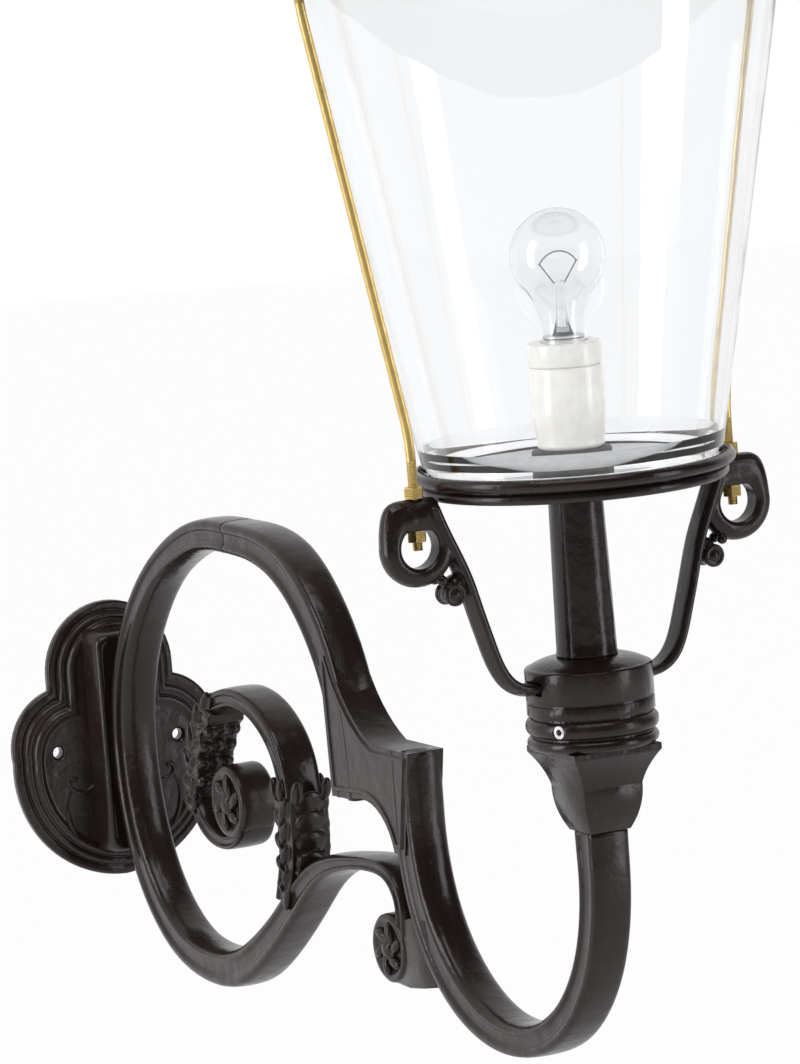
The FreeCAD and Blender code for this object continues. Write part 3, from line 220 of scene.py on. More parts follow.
def rounded(piece, radius, steps=3, angle=32):
    """Break the sharp edges of a piece with a small radius, in millimetres."""
    weld = piece.modifiers.new("weld", "WELD")
    weld.merge_threshold = 0.01 * MM
    bevel = piece.modifiers.new("edges", "BEVEL")
    bevel.width = radius * MM
    bevel.segments = steps
    bevel.limit_method = "ANGLE"
    bevel.angle_limit = math.radians(angle)
    bevel.harden_normals = True


def bridge(mesh, rings, caps=True):
    """Quads between closed rings of vertices that have the same count, with a face over each end."""
    made = [[mesh.verts.new(point) for point in ring] for ring in rings]
    for ring, following in zip(made, made[1:]):
        for number in range(len(ring)):
            after = (number + 1) % len(ring)
            mesh.faces.new((ring[number], ring[after], following[after], following[number]))
    if caps:
        mesh.faces.new(made[0][::-1])
        mesh.faces.new(made[-1])
    return made


def tube(mesh, points, radii, sides=10):
    """Round bar along points, with its own radius at each of them, in metres."""
    rings = []
    for number, point in enumerate(points):
        before = points[max(number - 1, 0)]
        after = points[min(number + 1, len(points) - 1)]
        along = (after - before).normalized()
        if number == 0:
            first = along.orthogonal()
        first = (first - along * first.dot(along)).normalized()
        second = along.cross(first)
        ring = []
        for side in range(sides):
            angle = side * math.tau / sides
            ring.append(point + (first * math.cos(angle) + second * math.sin(angle)) * radii[number])
        rings.append(ring)
    bridge(mesh, rings)


def spline_through(rows, step):
    """Rows a step apart along a smooth line through given rows, whose first two numbers are their place."""
    rows = np.array(rows, float)
    gaps = np.linalg.norm(np.diff(rows[:, :2], axis=0), axis=1)
    knots = np.concatenate(([0.0], np.cumsum(gaps)))
    count = len(rows)
    system = np.eye(count)
    pull = np.zeros_like(rows)
    for number in range(1, count - 1):
        before = gaps[number - 1]
        after = gaps[number]
        system[number, number - 1:number + 2] = (before, 2 * (before + after), after)
        rise = (rows[number + 1] - rows[number]) / after
        pull[number] = 6 * (rise - (rows[number] - rows[number - 1]) / before)
    bend = np.linalg.solve(system, pull)
    line = []
    for place in np.linspace(0, knots[-1], math.ceil(knots[-1] / step) + 1):
        number = min(int(np.searchsorted(knots, place, side="right")) - 1, count - 2)
        gap = gaps[number]
        first = (knots[number + 1] - place) / gap
        second = 1 - first
        straight = first * rows[number] + second * rows[number + 1]
        curve = (first ** 3 - first) * bend[number] + (second ** 3 - second) * bend[number + 1]
        line.append(straight + curve * gap * gap / 6)
    return np.array(line)


def arc_through(start, middle, end, count):
    """Points of the arc from start over middle, without its end; flat pairs of numbers."""
    a = complex(*start)
    b = complex(*middle)
    c = complex(*end)
    turn = (c - a) / (b - a)
    centre = a - (a - b) * (turn - abs(turn) ** 2) / (2j * turn.imag)
    first = math.atan2((a - centre).imag, (a - centre).real)
    last = math.atan2((c - centre).imag, (c - centre).real)
    way = math.atan2((b - centre).imag, (b - centre).real)
    sweep = (last - first) % math.tau
    if (way - first) % math.tau > sweep:
        sweep -= math.tau
    radius = abs(a - centre)
    points = []
    for number in range(count):
        angle = first + sweep * number / count
        points.append((centre.real + radius * math.cos(angle), centre.imag + radius * math.sin(angle)))
    return points


# How far the plate reaches from the middle between its fixing holes, and the shapes of its lobes.
PLATE_TOP = 105
PLATE_FOOT = -97
PLATE_SIDE = 81
PLATE_WAIST = -5
LOBE_RADIUS = 50
SHOULDER = 45


def trefoil(inset):
    """Outline of the plate drawn in by an inset: a round top lobe over two broad shoulders."""
    lobe = LOBE_RADIUS - inset
    top = PLATE_TOP - inset
    side = PLATE_SIDE - inset
    bottom = PLATE_FOOT + inset
    shoulder = SHOULDER - inset
    crown = top - lobe
    flank = (lobe + (side - lobe) * 0.76, shoulder - (shoulder - PLATE_WAIST) * 0.33)
    belly = (side * 0.745, bottom * 0.70)
    right = [(lobe, crown - (crown - shoulder) * number / 2) for number in range(2)]
    right += arc_through((lobe, shoulder), flank, (side, PLATE_WAIST), 14)
    right += arc_through((side, PLATE_WAIST), belly, (0, bottom), 26)
    left = [(-across, level) for across, level in right[1:][::-1]]
    over = arc_through((-lobe, crown), (0, top), (lobe, crown), 26)
    return right + [(0, bottom)] + left + over


# Steps of the plate from its edge inward: (inset, how far it stands out from the wall).
PLATE_STEPS = [(0.0, 0.0), (0.0, 4.2), (0.7, 5.6), (2.2, 6.3), (4.4, 6.3), (6.2, 5.7), (6.9, 5.2), (7.4, 5.6),
               (7.8, 7.6), (8.8, 9.0), (10.4, 9.4), (12.0, 9.0), (12.8, 8.3), (13.5, 8.4), (14.2, 9.8),
               (15.2, 11.3), (16.8, 12.0), (18.4, 11.5), (19.6, 10.6), (21.5, 10.3)]
HOLE_SIDE = 48
HOLE_RADIUS = 4.2
SINK_RADIUS = 6.2
SINK_FOOT = 8.4
SINK_TOP = 10.4


def round_the(sides):
    """Angles of a full turn in equal steps."""
    return [math.tau * number / sides for number in range(sides)]


def make_plate():
    """Plate with its stepped edge, a flat back and two fixing holes that are widened at the front."""
    mesh = bmesh.new()
    rings = [[spot(out, level, across) for across, level in trefoil(inset)] for inset, out in PLATE_STEPS]
    bridge(mesh, rings)
    plate = new_piece("wall_plate_casting", mesh, "bracket", enamel)
    holes = bmesh.new()
    behind = -2
    before = SINK_TOP + 3.6
    for hand in (-1, 1):
        rings = []
        for out, radius in ((behind, HOLE_RADIUS), (SINK_FOOT, HOLE_RADIUS),
                            (SINK_TOP, SINK_RADIUS), (before, SINK_RADIUS)):
            rings.append([spot(out, radius * math.sin(angle), hand * HOLE_SIDE + radius * math.cos(angle))
                          for angle in round_the(28)])
        bridge(holes, rings)
    drill = new_piece("plate_drill", holes, "bracket")
    carve = plate.modifiers.new("holes", "BOOLEAN")
    carve.object = drill
    carve.operation = "DIFFERENCE"
    settle(plate)
    for face in plate.data.polygons:
        face.use_smooth = abs(face.normal.y) < 0.999
    bpy.data.objects.remove(drill)
    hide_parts("wall_plate")


# Profile of the boss from its foot over the rolled rim to its face: (half width, how far out).
BOSS_PROFILE = [(24.5, 6), (23.6, 12), (21.6, 23.5), (20.6, 27.0), (19.6, 29.0), (18.2, 29.9), (16.8, 29.4),
                (16.0, 28.4), (14.5, 28.2)]
BOSS_HALF = 20
BOSS_TOP = 83
BOSS_FOOT = -75
BOSS_CORNER = 9
# Middle lines of the relief at the right of the boss: (across, level).
BOSS_CURL = [(20, -26), (26, -30), (33, -31.5), (39, -29), (42, -24.5), (40, -20.5), (36.5, -21.5)]
BOSS_SWEEP = [(41, -29), (45, -37), (45, -48), (41, -60), (34, -68), (24, -73)]
CURL_RADIUS = 2.0
SWEEP_TIP = 0.9
SWEEP_SWELL = 1.4


def make_boss():
    """Drafted boss with a rolled rim round its front, and the relief curls at both its sides."""
    mesh = bmesh.new()

    def oblong(half, top, foot, out, corner):
        """Ring of a rounded rectangle at one distance from the wall."""
        side = half - corner
        high = top - corner
        low = foot + corner
        points = []
        for quarter, (across, level) in enumerate(((side, high), (-side, high), (-side, low), (side, low))):
            for number in range(7):
                angle = (quarter + number / 6) * math.pi / 2
                points.append(spot(out, level + corner * math.sin(angle), across + corner * math.cos(angle)))
        return points

    rings = []
    for half, out in BOSS_PROFILE:
        grown = half - BOSS_HALF
        rings.append(oblong(half, BOSS_TOP + grown, BOSS_FOOT - grown, out, min(BOSS_CORNER, half * 0.5)))
    bridge(mesh, rings)
    for hand in (-1, 1):
        points = [spot(9.8, level, hand * across) for across, level in spline_through(BOSS_CURL, 1.2)]
        tube(mesh, points, [CURL_RADIUS * MM] * len(points))
        points = [spot(9.6, level, hand * across) for across, level in spline_through(BOSS_SWEEP, 1.5)]
        swell = [math.sin(math.pi * (number + 0.5) / len(points)) for number in range(len(points))]
        tube(mesh, points, [(SWEEP_TIP + SWEEP_SWELL * share) * MM for share in swell])
    new_piece("wall_plate_boss", mesh, "bracket", enamel)


make_plate()
make_boss()
enamel.coat("wall_plate")


# ---------------------------------------------------------------- scroll loop and hook arm
# Two aluminium castings butted at the crown: the loop with its lower arch, and the quarter loop with the
# shelf and the hook. Both are straps with crowned faces, rounded flanges and a sunk channel at the sides.

STRAP_HALF = 14.0
# Stations along the middle line of each strap: (distance from the wall, level, depth of the strap).
LOOP = [(240, 171, 24), (197, 169.5, 23.5), (155, 157, 22.5), (117, 137, 21), (83, 108, 22), (57, 73, 23),
        (42, 35, 25), (38, -2, 26), (42, -38, 26), (54, -73, 26), (78, -107, 26), (115, -132, 26),
        (160, -140.5, 27), (203, -136, 28), (240, -119, 27), (275, -96, 25), (305, -73, 24),
        (331, -55, 20), (358, -43.5, 15), (392, -36.5, 11), (428, -33.5, 10.5), (452, -38.5, 11),
        (464, -54, 12), (463, -76, 13)]
QUARTER = [(396.5, 8, 33), (396.5, 29, 33), (391.5, 67, 33), (377, 102, 33), (353.5, 132.5, 33),
           (323, 156, 32), (283, 168.5, 27), (240, 171, 24)]
HOOK = [(481, 50, 30), (481, 24, 30), (481, -2, 30), (498, -64, 31), (542, -108, 29), (603, -124, 23),
        (664, -108, 23), (708.5, -63, 24), (725, -2, 26), (725, 14, 27), (725, 27, 28)]

# Half of a strap's section, from the crown of one face over the flanges and the sunk side channel to the
# crown of the other: shares of half the width across the bracket and of half the depth.
STRAP_SIDE = [(0.0, 1.0), (0.30, 0.985), (0.58, 0.93), (0.80, 0.83), (0.93, 0.70), (0.99, 0.58),
              (0.995, 0.47), (0.95, 0.37), (0.885, 0.31), (0.872, 0.22), (0.872, -0.22), (0.885, -0.31),
              (0.95, -0.37), (0.995, -0.47), (1.0, -0.62), (0.965, -0.79), (0.87, -0.90), (0.68, -0.955),
              (0.36, -0.985), (0.0, -1.0)]


def strap(mesh, stations, half=STRAP_HALF, side=STRAP_SIDE, step=3.0, soft_end=0.8, place=spot):
    """Sweep a strap's section along its stations, with its ends a little eased."""
    section = side + [(-across, depth) for across, depth in side[1:-1][::-1]]
    line = spline_through(stations, step)
    along = np.gradient(line[:, :2], axis=0)
    along /= np.linalg.norm(along, axis=1)[:, None]

    def ring(number, shrink=1.0, ahead=0.0):
        """The section at one place of the line, made smaller or moved ahead along the line."""
        reach, level, depth = line[number]
        on_reach, on_level = along[number]
        points = []
        for across, share in section:
            offset = share * depth / 2 * shrink
            points.append(place(reach - on_level * offset + on_reach * ahead,
                                level + on_reach * offset + on_level * ahead, across * half * shrink))
        return points

    last = len(line) - 1
    rings = [ring(0, 1 - soft_end / (line[0][2] / 2)), ring(0, ahead=soft_end)]
    rings += [ring(number) for number in range(1, last)]
    rings += [ring(last, ahead=-soft_end), ring(last, 1 - soft_end / (line[last][2] / 2))]
    bridge(mesh, rings)


def cheek(mesh, reach, level, profile, sides=40):
    """Round boss across the bracket, turned about its own level axis: profile of (across, radius)."""
    rings = []
    for across, radius in profile:
        rings.append([spot(reach + radius * math.cos(angle), level + radius * math.sin(angle), across)
                      for angle in round_the(sides)])
    bridge(mesh, rings)


def both_ways(profile):
    """Profile from the right cheek's middle round the rim to the left cheek's middle."""
    return profile + [(-across, radius) for across, radius in profile[::-1]]


END_SCROLL = (446, -87)
END_RADIUS = 23.5
# Cheek of the end scroll from its middle over the rim bead: (how far across, radius).
END_CHEEK = [(12.0, 1), (12.2, 8), (12.4, 15.5), (13.2, 17.5), (14, 19.5), (13.8, 21.5), (12.6, 23),
             (10.5, END_RADIUS), (4, END_RADIUS)]
# Web between the end scroll and the hook: side outline, middle, how far across it keeps that outline, how
# far across its faces lie, and the share of the outline that they have.
WEB = [(450, -109.5), (470, -110.5), (490, -108), (512, -104), (506, -80), (500, -60), (478, -62), (455, -66)]
WEB_MIDDLE = (480, -85)
WEB_EDGE = 11.6
WEB_HALF = 12.6
WEB_FACE = 0.94


def slab_of(mesh, outline, half):
    """Straight slab of a side outline, across the bracket."""
    bridge(mesh, [[spot(reach, level, across) for reach, level in outline] for across in (-half, half)])


def make_loop():
    """Loop, lower arch, and the small end scroll that meets the hook."""
    mesh = bmesh.new()
    strap(mesh, LOOP)
    cheek(mesh, *END_SCROLL, both_ways(END_CHEEK))
    rings = []
    for across, shrink in ((-WEB_HALF, WEB_FACE), (-WEB_EDGE, 1.0), (WEB_EDGE, 1.0), (WEB_HALF, WEB_FACE)):
        rings.append([spot(WEB_MIDDLE[0] + (reach - WEB_MIDDLE[0]) * shrink,
                           WEB_MIDDLE[1] + (level - WEB_MIDDLE[1]) * shrink, across) for reach, level in WEB])
    bridge(mesh, rings)
    piece = new_piece("scroll_loop_casting", mesh, "bracket", enamel)
    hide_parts("scroll_loop")


# Side outline of the shelf, from its foot on the loop round its tip and up the hook's leg.
SHELF_OUTLINE = ([(380, 8), (424, 11)] + arc_through((424, 11), (453, 1), (466, -20), 8)[1:]
                 + [(466, -20), (481, -20), (496, 50), (444, 50)]
                 + arc_through((444, 50), (414, 70), (388, 110), 9)[1:] + [(388, 110), (376, 104)])
SHELF_SETBACK = 0.6
SHELF_EDGE = 1.6
# Steps of the shelf's cheeks from the outline inward: (how far in, how far out).
SHELF_STEPS = [(3.4, 0.0), (1.0, -1.5), (2.2, 0.0), (1.0, 1.2)]


def make_hook():
    """Quarter loop, shelf and hook: a sunk groove on the shelf's cheeks sets a border off from the field."""
    mesh = bmesh.new()
    strap(mesh, QUARTER)
    strap(mesh, HOOK)
    piece = new_piece("hook_arm_casting", mesh, "bracket", enamel)
    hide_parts("hook_arm")
    panel = bmesh.new()
    slab_of(panel, SHELF_OUTLINE, STRAP_HALF - SHELF_SETBACK)
    panel.normal_update()
    sides = [face for face in panel.faces if len(face.verts) > 4]
    for inward, out in SHELF_STEPS:
        bmesh.ops.inset_region(panel, faces=sides, thickness=inward * MM, depth=out * MM,
                               use_even_offset=True)
    shelf = new_piece("shelf_casting", panel, "bracket", enamel)
    rounded(shelf, SHELF_EDGE, 3, 40)


make_loop()
make_hook()
enamel.coat("scroll_loop", "hook_arm")


# ---------------------------------------------------------------- inner scroll, leaves and rosettes
# A slimmer strap that leaves the loop inside a leaf husk, curls inward and ends in a round boss. Leaves
# and rosettes are cast in relief on the same aluminium, so their edges are soft.

# Stations along the middle line: (distance from the wall, level, depth of the strap).
CURL = [(286, -78, 20), (299, -40, 18), (303, -2, 17), (297, 22, 17), (278, 43, 16), (252, 55, 15),
        (225, 57.5, 15), (196, 50, 15), (172, 33, 15), (158, 8, 15), (156, -18, 14), (170, -38, 13),
        (196, -46.5, 12), (221, -40, 11), (233, -22, 9)]
CURL_END = (213, -17)
CURL_END_RADIUS = 26
# Cheek of the boss from its middle over the rim bead: (how far across, radius).
CURL_CHEEK = [(11.6, 1), (11.8, 9), (12.2, 17), (13.2, 19), (14, 21.5), (13.8, 23.8), (12.6, 25.4),
              (10.5, CURL_END_RADIUS), (4, CURL_END_RADIUS)]


def make_inner_scroll():
    """The curling strap and the boss at its end."""
    mesh = bmesh.new()
    strap(mesh, CURL, step=2.5)
    cheek(mesh, *CURL_END, both_ways(CURL_CHEEK))
    piece = new_piece("inner_scroll_casting", mesh, "bracket", enamel)
    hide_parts("inner_scroll")


def blob(mesh, reach, level, across, long, broad, thick, tilt=0.0, lean=0.0):
    """Rounded lump of relief, long in the direction of tilt in the side plane, leaning across by lean."""
    turn = Matrix.Rotation(math.radians(lean), 4, "Z") @ Matrix.Rotation(math.radians(-tilt), 4, "X")
    stretch = Matrix.Diagonal((thick * MM, long * MM, broad * MM, 1))
    bmesh.ops.create_icosphere(mesh, subdivisions=3, radius=1,
                               matrix=Matrix.Translation(spot(reach, level, across)) @ turn @ stretch)


def cast_relief(name, mesh, nodes_shown, grain=0.8, rounds=3, body="bracket"):
    """Melt overlapping lumps into one casting with soft hollows between them."""
    piece = new_piece(name, mesh, body, enamel)
    melt = piece.modifiers.new("melt", "REMESH")
    melt.mode = "VOXEL"
    melt.voxel_size = grain * MM
    ease = piece.modifiers.new("ease", "SMOOTH")
    ease.factor = 0.6
    ease.iterations = rounds
    settle(piece)
    enamel.coat(piece)
    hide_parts(*nodes_shown)


PETALS = 6
PETAL_TWIST = 28
CHEEK_SUNK = 1.6


def rosette(mesh, reach, level, radius, hand):
    """Button and six twisted petals, with a rib between each two, on one cheek of a scroll end."""
    face = hand * (STRAP_HALF - CHEEK_SUNK)
    blob(mesh, reach, level, face + hand * CHEEK_SUNK, radius * 0.26, radius * 0.26, 3.6)
    for number in range(PETALS):
        angle = 360 / PETALS * number + 15
        petal = math.radians(angle)
        rib = petal + 0.5
        blob(mesh, reach + radius * 0.52 * math.cos(petal), level + radius * 0.52 * math.sin(petal),
             face + hand * 0.9, radius * 0.30, radius * 0.15, 3.2, angle + PETAL_TWIST)
        blob(mesh, reach + radius * 0.30 * math.cos(rib), level + radius * 0.30 * math.sin(rib),
             face, radius * 0.20, radius * 0.07, 2.6, angle + 60)


def make_rosettes():
    """A rosette on each cheek of both scroll ends."""
    for name, node, end, radius in (("inner_scroll_rosettes", "inner_rosettes", CURL_END, CURL_END_RADIUS),
                                    ("end_scroll_rosettes", "end_rosettes", END_SCROLL, END_RADIUS)):
        mesh = bmesh.new()
        for hand in (-1, 1):
            rosette(mesh, *end, radius, hand)
        cast_relief(name, mesh, [node], 0.7, 2)


# Side outlines of what the leaves grow from, and the half width of each: the calyx round the fork, and
# the leaf's vein over the scroll's back.
CALYX = [(291, -4), (299, -6), (306, 0), (313, -5), (318, 0), (316, -12), (316, -30), (313, -48), (309, -58),
         (300, -76), (296, -62), (293, -44), (294, -24)]
CALYX_HALF = 14.6
CALYX_ROWS = 4
VEIN = [(203, 57), (184, 51), (165, 36), (152, 14), (150, -12), (155, -30), (162, -26), (166, -12),
        (172, -2), (171, 8), (180, 18), (179, 27), (194, 36), (196, 44)]
VEIN_HALF = 14.4
# Lobes down the leaf: (distance from the wall, level, slope of the scroll's back there, half length).
LEAF_LOBES = [(193, 51, 20, 10), (178, 40, 40, 10), (166, 24, 62, 10), (158, 7, 84, 10), (156, -10, 98, 9),
              (157, -24, 104, 8)]


def make_husk():
    """Leaf husk round the fork: a calyx with flared tips and a zigzag of lobes down each cheek."""
    mesh = bmesh.new()
    slab_of(mesh, CALYX, CALYX_HALF)
    for hand in (-1, 1):
        cheek_side = hand * 15.0
        for number in range(CALYX_ROWS):
            level = -11 - 15.5 * number
            reach = 304 - 1.2 * number
            size = 1.0 - 0.10 * number
            blob(mesh, reach + 3.5, level, cheek_side, 9.5 * size, 3.6 * size, 4.2, 64)
            blob(mesh, reach - 4.5, level - 7, cheek_side, 8.5 * size, 3.2 * size, 3.8, 128)
        blob(mesh, 321, 2, hand * 11, 9, 3.4, 4.5, 72, 12 * hand)
        blob(mesh, 288, 2, hand * 11, 8, 3.2, 4.5, 110, 12 * hand)
        blob(mesh, 305, 3, hand * 15.5, 8, 3.4, 3.2, 90)
        blob(mesh, 299, -73, hand * 13.6, 10, 3.4, 3.0, 66)
    for number in range(CALYX_ROWS):
        level = -6 - 14 * number
        reach = 315.0 + level * 0.07
        blob(mesh, reach + 2.5, level, 0, 8.5, 3.4, 11.5, 70)
        for across in (7, -7):
            blob(mesh, reach, level - 7, across, 6, 2.6, 4.5, 110)
    cast_relief("leaf_husk_relief", mesh, ["leaf_husk"], 0.6, 1)


def make_back_leaf():
    """Leaf wrapped over the back of the inner scroll, with curled lobes and a tip that hangs free."""
    mesh = bmesh.new()
    slab_of(mesh, VEIN, VEIN_HALF)
    last = len(LEAF_LOBES) - 1
    for number, (reach, level, tilt, length) in enumerate(LEAF_LOBES):
        slope = math.radians(tilt)
        # How far off the scroll's back, how far across, share of the length, breadth, thickness, turn, lean.
        lumps = []
        for hand in (-1, 1):
            lumps += [(1, hand * 14.8, 1.0, 3.4, 3.4, 34, 0),
                      (-7, hand * 14.2, 0.7, 2.8, 3.2, -28, 0),
                      (4, hand * 9, 0.6, 3.2, 5.5, 0, 14 * hand)]
        lumps.append((4.5, 0, 0.66, 3.0, 8, 0, 0))
        if 0 < number < last:
            lumps += [(-13, across, 0.55, 4.2, 5.6, 8 * across, 0) for across in (-9, 0, 9)]
        for off, across, share, broad, thick, turn, lean in lumps:
            blob(mesh, reach - math.sin(slope) * off, level + math.cos(slope) * off, across,
                 length * share, broad, thick, tilt + turn, lean)
    cast_relief("back_leaf_relief", mesh, ["back_leaf"], 0.7, 2)


make_inner_scroll()
make_rosettes()
make_husk()
make_back_leaf()
enamel.coat("inner_scroll", "leaf_husk", "back_leaf", "inner_rosettes", "end_rosettes")


# ---------------------------------------------------------------- capital, collar and column
# Square capital on top of the hook, a ringed collar that turns on a spigot over it, the tapered tube above
# and the stepped dish that carries the glass. All are turned or cast aluminium in the same enamel.

SOFT_EDGE = 0.5

for name in ("capital", "collar", "column_tube", "gallery_dish"):
    enamel.coat(name)
    rounded(nodes[name], SOFT_EDGE, 2)


# ---------------------------------------------------------------- stirrup arms
# Two cast arms screwed to the collar from below. Each is a strap with a ridged outer face that ends in a
# flat-topped eye, into which its tie rod comes down and is nutted, with a small ball under the eye.

AXIS_REACH = 725.0
ARM_HALF = 9.0
# Middle line of an arm: (distance from the lantern's axis, level, thickness).
ARM = [(23, 121, 7.6), (31, 121, 7.8), (40, 121, 8), (48, 122, 8.4), (57, 127, 9), (65, 139, 9),
       (70.5, 155, 9), (76.5, 175, 9), (83, 197, 9), (90.5, 215, 9), (97.5, 231, 9), (102, 243, 9)]
# Half of an arm's section from the inner face round the flank to the outer ridge: shares of half width and
# half thickness.
ARM_SIDE = [(0.0, 0.88), (0.62, 0.84), (0.90, 0.66), (0.98, 0.30), (1.0, -0.10), (0.95, -0.42), (0.50, -0.82),
            (0.12, -1.06), (0.0, -1.08)]
# Middle of the eye, radius of its hole, and the height over the middle at which the hole is cut flat.
EYE = (113.0, 219.0)
EYE_BORE = 13.0
EYE_FLAT = 10.3
# The ear's outline above the eye's middle: (way out, way up, how far the edge lies that way).
EAR_SIDE = 24.8
EAR_EDGES = [(0.0, 1.0, 30.0), (1.0, 0.0, EAR_SIDE), (0.90, 0.44, 30.5), (-1.0, 0.0, 17.0)]
EAR_SHARPNESS = 9
# Half of the ear's section from the hole to the rim: (share of the way, how far across).
EAR_SECTION = [(0.0, 0.0), (0.0, 5.6), (0.10, 6.9), (0.24, 7.8), (0.42, 7.9), (0.62, 7.4), (0.82, 6.0),
               (0.95, 3.4), (1.0, 0.0)]
BALL = (92.0, 187.5)


def ear_reach(angle):
    """Distance from the eye's middle to the ear's outline, which is flat on top and round below."""
    across = math.cos(angle)
    up = math.sin(angle)
    if up <= 0:
        return EAR_SIDE
    nearness = sum(max(0.0, (across * x + up * z) / limit) ** EAR_SHARPNESS for x, z, limit in EAR_EDGES)
    blend_in = min(1.0, up / 0.5) if across < 0 else 1.0
    return EAR_SIDE + (nearness ** (-1 / EAR_SHARPNESS) - EAR_SIDE) * blend_in


def make_ear(mesh, place):
    """Ring of the eye: a bevel round the hole, crowned cheeks and a broad rounded outer face."""
    section = EAR_SECTION + [(share, -across) for share, across in EAR_SECTION[1:-1][::-1]]
    rings = []
    turns = 72
    for number in range(turns + 1):
        angle = math.tau * number / turns
        inner = EYE_BORE
        if math.sin(angle) > EYE_FLAT / EYE_BORE:
            inner = EYE_FLAT / math.sin(angle)
        outer = ear_reach(angle)
        ring = []
        for share, across in section:
            radius = inner + (outer - inner) * share
            ring.append(place(EYE[0] + radius * math.cos(angle), EYE[1] + radius * math.sin(angle), across))
        rings.append(ring)
    bridge(mesh, rings, caps=False)


def make_arm(hand, name, node):
    """Arm, eye and ball of one side, melted into one casting."""
    mesh = bmesh.new()

    def place(out, level, across=0.0):
        """Point from its distance to the lantern's axis, its level and its place across the arm."""
        return Vector((hand * out, across - AXIS_REACH, level)) * MM

    def ball(out, level, across, radius, thick):
        """Ball, flattened across the arm to its own half thickness."""
        stretch = Matrix.Diagonal((radius * MM, thick * MM, radius * MM, 1))
        bmesh.ops.create_icosphere(mesh, subdivisions=3, radius=1,
                                   matrix=Matrix.Translation(place(out, level, across)) @ stretch)

    strap(mesh, ARM, ARM_HALF, ARM_SIDE, 2.0, 0.8, place)
    make_ear(mesh, place)
    ball(BALL[0], BALL[1], 0, 6.6, 9.2)
    for side in (-1, 1):
        turn = round_the(24)
        hoop = [place(BALL[0] + 5.6 * math.cos(angle), BALL[1] + 5.6 * math.sin(angle), side * 6.2)
                for angle in turn + [math.tau]]
        tube(mesh, hoop, [1.9 * MM] * len(hoop), 8)
        ball(BALL[0] + 7.5, BALL[1] + 9.5, side * 5, 3.4, 3.2)
    ball(BALL[0] - 3, BALL[1] + 6, 0, 6, 7.5)
    cast_relief(name, mesh, [node], 0.6, 2, "lantern")


make_arm(-1, "left_arm_casting", "left_arm")
make_arm(1, "right_arm_casting", "right_arm")
enamel.coat("left_arm", "right_arm")


# ---------------------------------------------------------------- top ring and hood
# Cast ring on the glass, held down by the tie rods, and a spun hood hinged to it with a ventilator on top.
# Enamelled outside in the same brown black; the hood's inside is white so that it throws the light down.

LINING_CLEAN = (0.82, 0.82, 0.81, 1)
LINING_DULL = (0.74, 0.74, 0.73, 1)


def make_lining():
    """The enamel outside and white inside, told apart by which way the sheet faces."""
    lining = Finish("hood_lining")
    facing = lining.node("ShaderNodeTexCoord", {}, {}, "Normal")
    upward = lining.node("ShaderNodeSeparateXYZ", {}, {0: facing}, "Z")
    inside = 1 - (upward > -0.03)
    lumps = lining.grain(16, 3.0)
    patches = enamel_patches(lining)
    dark = lining.mix(patches, ENAMEL_DARK, ENAMEL_WARM)
    white = lining.mix(patches, LINING_CLEAN, LINING_DULL)
    lining.vary("Base Color", lining.mix(inside, dark, white))
    lining.vary("Roughness", 0.24 + patches * 0.10 + inside * 0.25)
    lining.relief((lumps, 0.5))
    return lining


enamel.coat("top_ring", "hood_curb", "hinge_leaf", "vent_neck", "vent_cap", "finial")
make_lining().coat("hood_shell")


# ---------------------------------------------------------------- screws, bolts and the hollow rod
# Bright zinc-plated steel. The grub screws show on the collar. The rest sits inside or behind: the foot
# screws, plate bolts, dowel, spigot and stud, hollow rod with its nuts, hinge pin and spring contact.

STEEL_BRIGHT = (0.56, 0.56, 0.57, 1)
STEEL_DULL = (0.38, 0.37, 0.36, 1)


def make_steel():
    """Zinc-plated steel with faint turning lines and dull spots."""
    steel = Finish("steel", Metallic=1.0)
    spots = steel.grain(5, 4.0)
    lines = steel.grain(0.9, 1.0, stretch=(0.2, 0.2, 3.0))
    steel.vary("Base Color", steel.mix(spots.ramp(0.35, 0.7), STEEL_BRIGHT, STEEL_DULL))
    steel.vary("Roughness", 0.22 + spots * 0.25)
    steel.relief((lines, 0.03), (spots, 0.05))
    return steel


make_steel().coat("seam_dowel", "plate_bolts", "spigot", "spigot_stud", "grub_screws", "foot_screws",
                  "hollow_rod", "rod_nuts", "hinge_pin", "centre_contact")


# ---------------------------------------------------------------- brass rods and nuts
# Polished brass tie rods, threaded at both ends, with hexagon nuts at the ears and acorn nuts on top. They
# pull the top ring down on the glass. The lamp holder's screw shell is of the same brass.

BRASS_BRIGHT = (0.83, 0.62, 0.25, 1)
BRASS_DEEP = (0.78, 0.56, 0.21, 1)
BRASS_TARNISHED = (0.52, 0.34, 0.10, 1)
# Levels over and under which the rods carry thread, and the thread's pitch.
THREAD_OVER = 556
THREAD_UNDER = 272
THREAD_PITCH = 1.0


def make_brass():
    """Yellow brass with a thin uneven tarnish, drawn along the rod."""
    brass = Finish("brass", Metallic=1.0)
    drawn = brass.grain(1.2, 2.0, stretch=(2.0, 2.0, 0.06))
    tarnish = brass.grain(11, 4.0, shift=5.0).ramp(0.40, 0.72)
    bright = brass.mix(drawn, BRASS_BRIGHT, BRASS_DEEP)
    brass.vary("Base Color", brass.mix(tarnish * 0.4, bright, BRASS_TARNISHED))
    brass.vary("Roughness", 0.30 + tarnish * 0.14 + drawn * 0.04)
    level = brass.axis("Z")
    turns = (level * (math.tau / THREAD_PITCH)).math("SINE")
    ends = (level > THREAD_OVER) + (1 - (level > THREAD_UNDER))
    brass.relief((turns * ends, 0.18))
    return brass


make_brass().coat("left_tie_rod", "right_tie_rod", "ear_nuts", "eye_nuts", "lug_under_nuts", "acorn_nuts",
                  "screw_shell")
for name in ("ear_nuts", "eye_nuts", "lug_under_nuts"):
    rounded(nodes[name], SOFT_EDGE, 2)


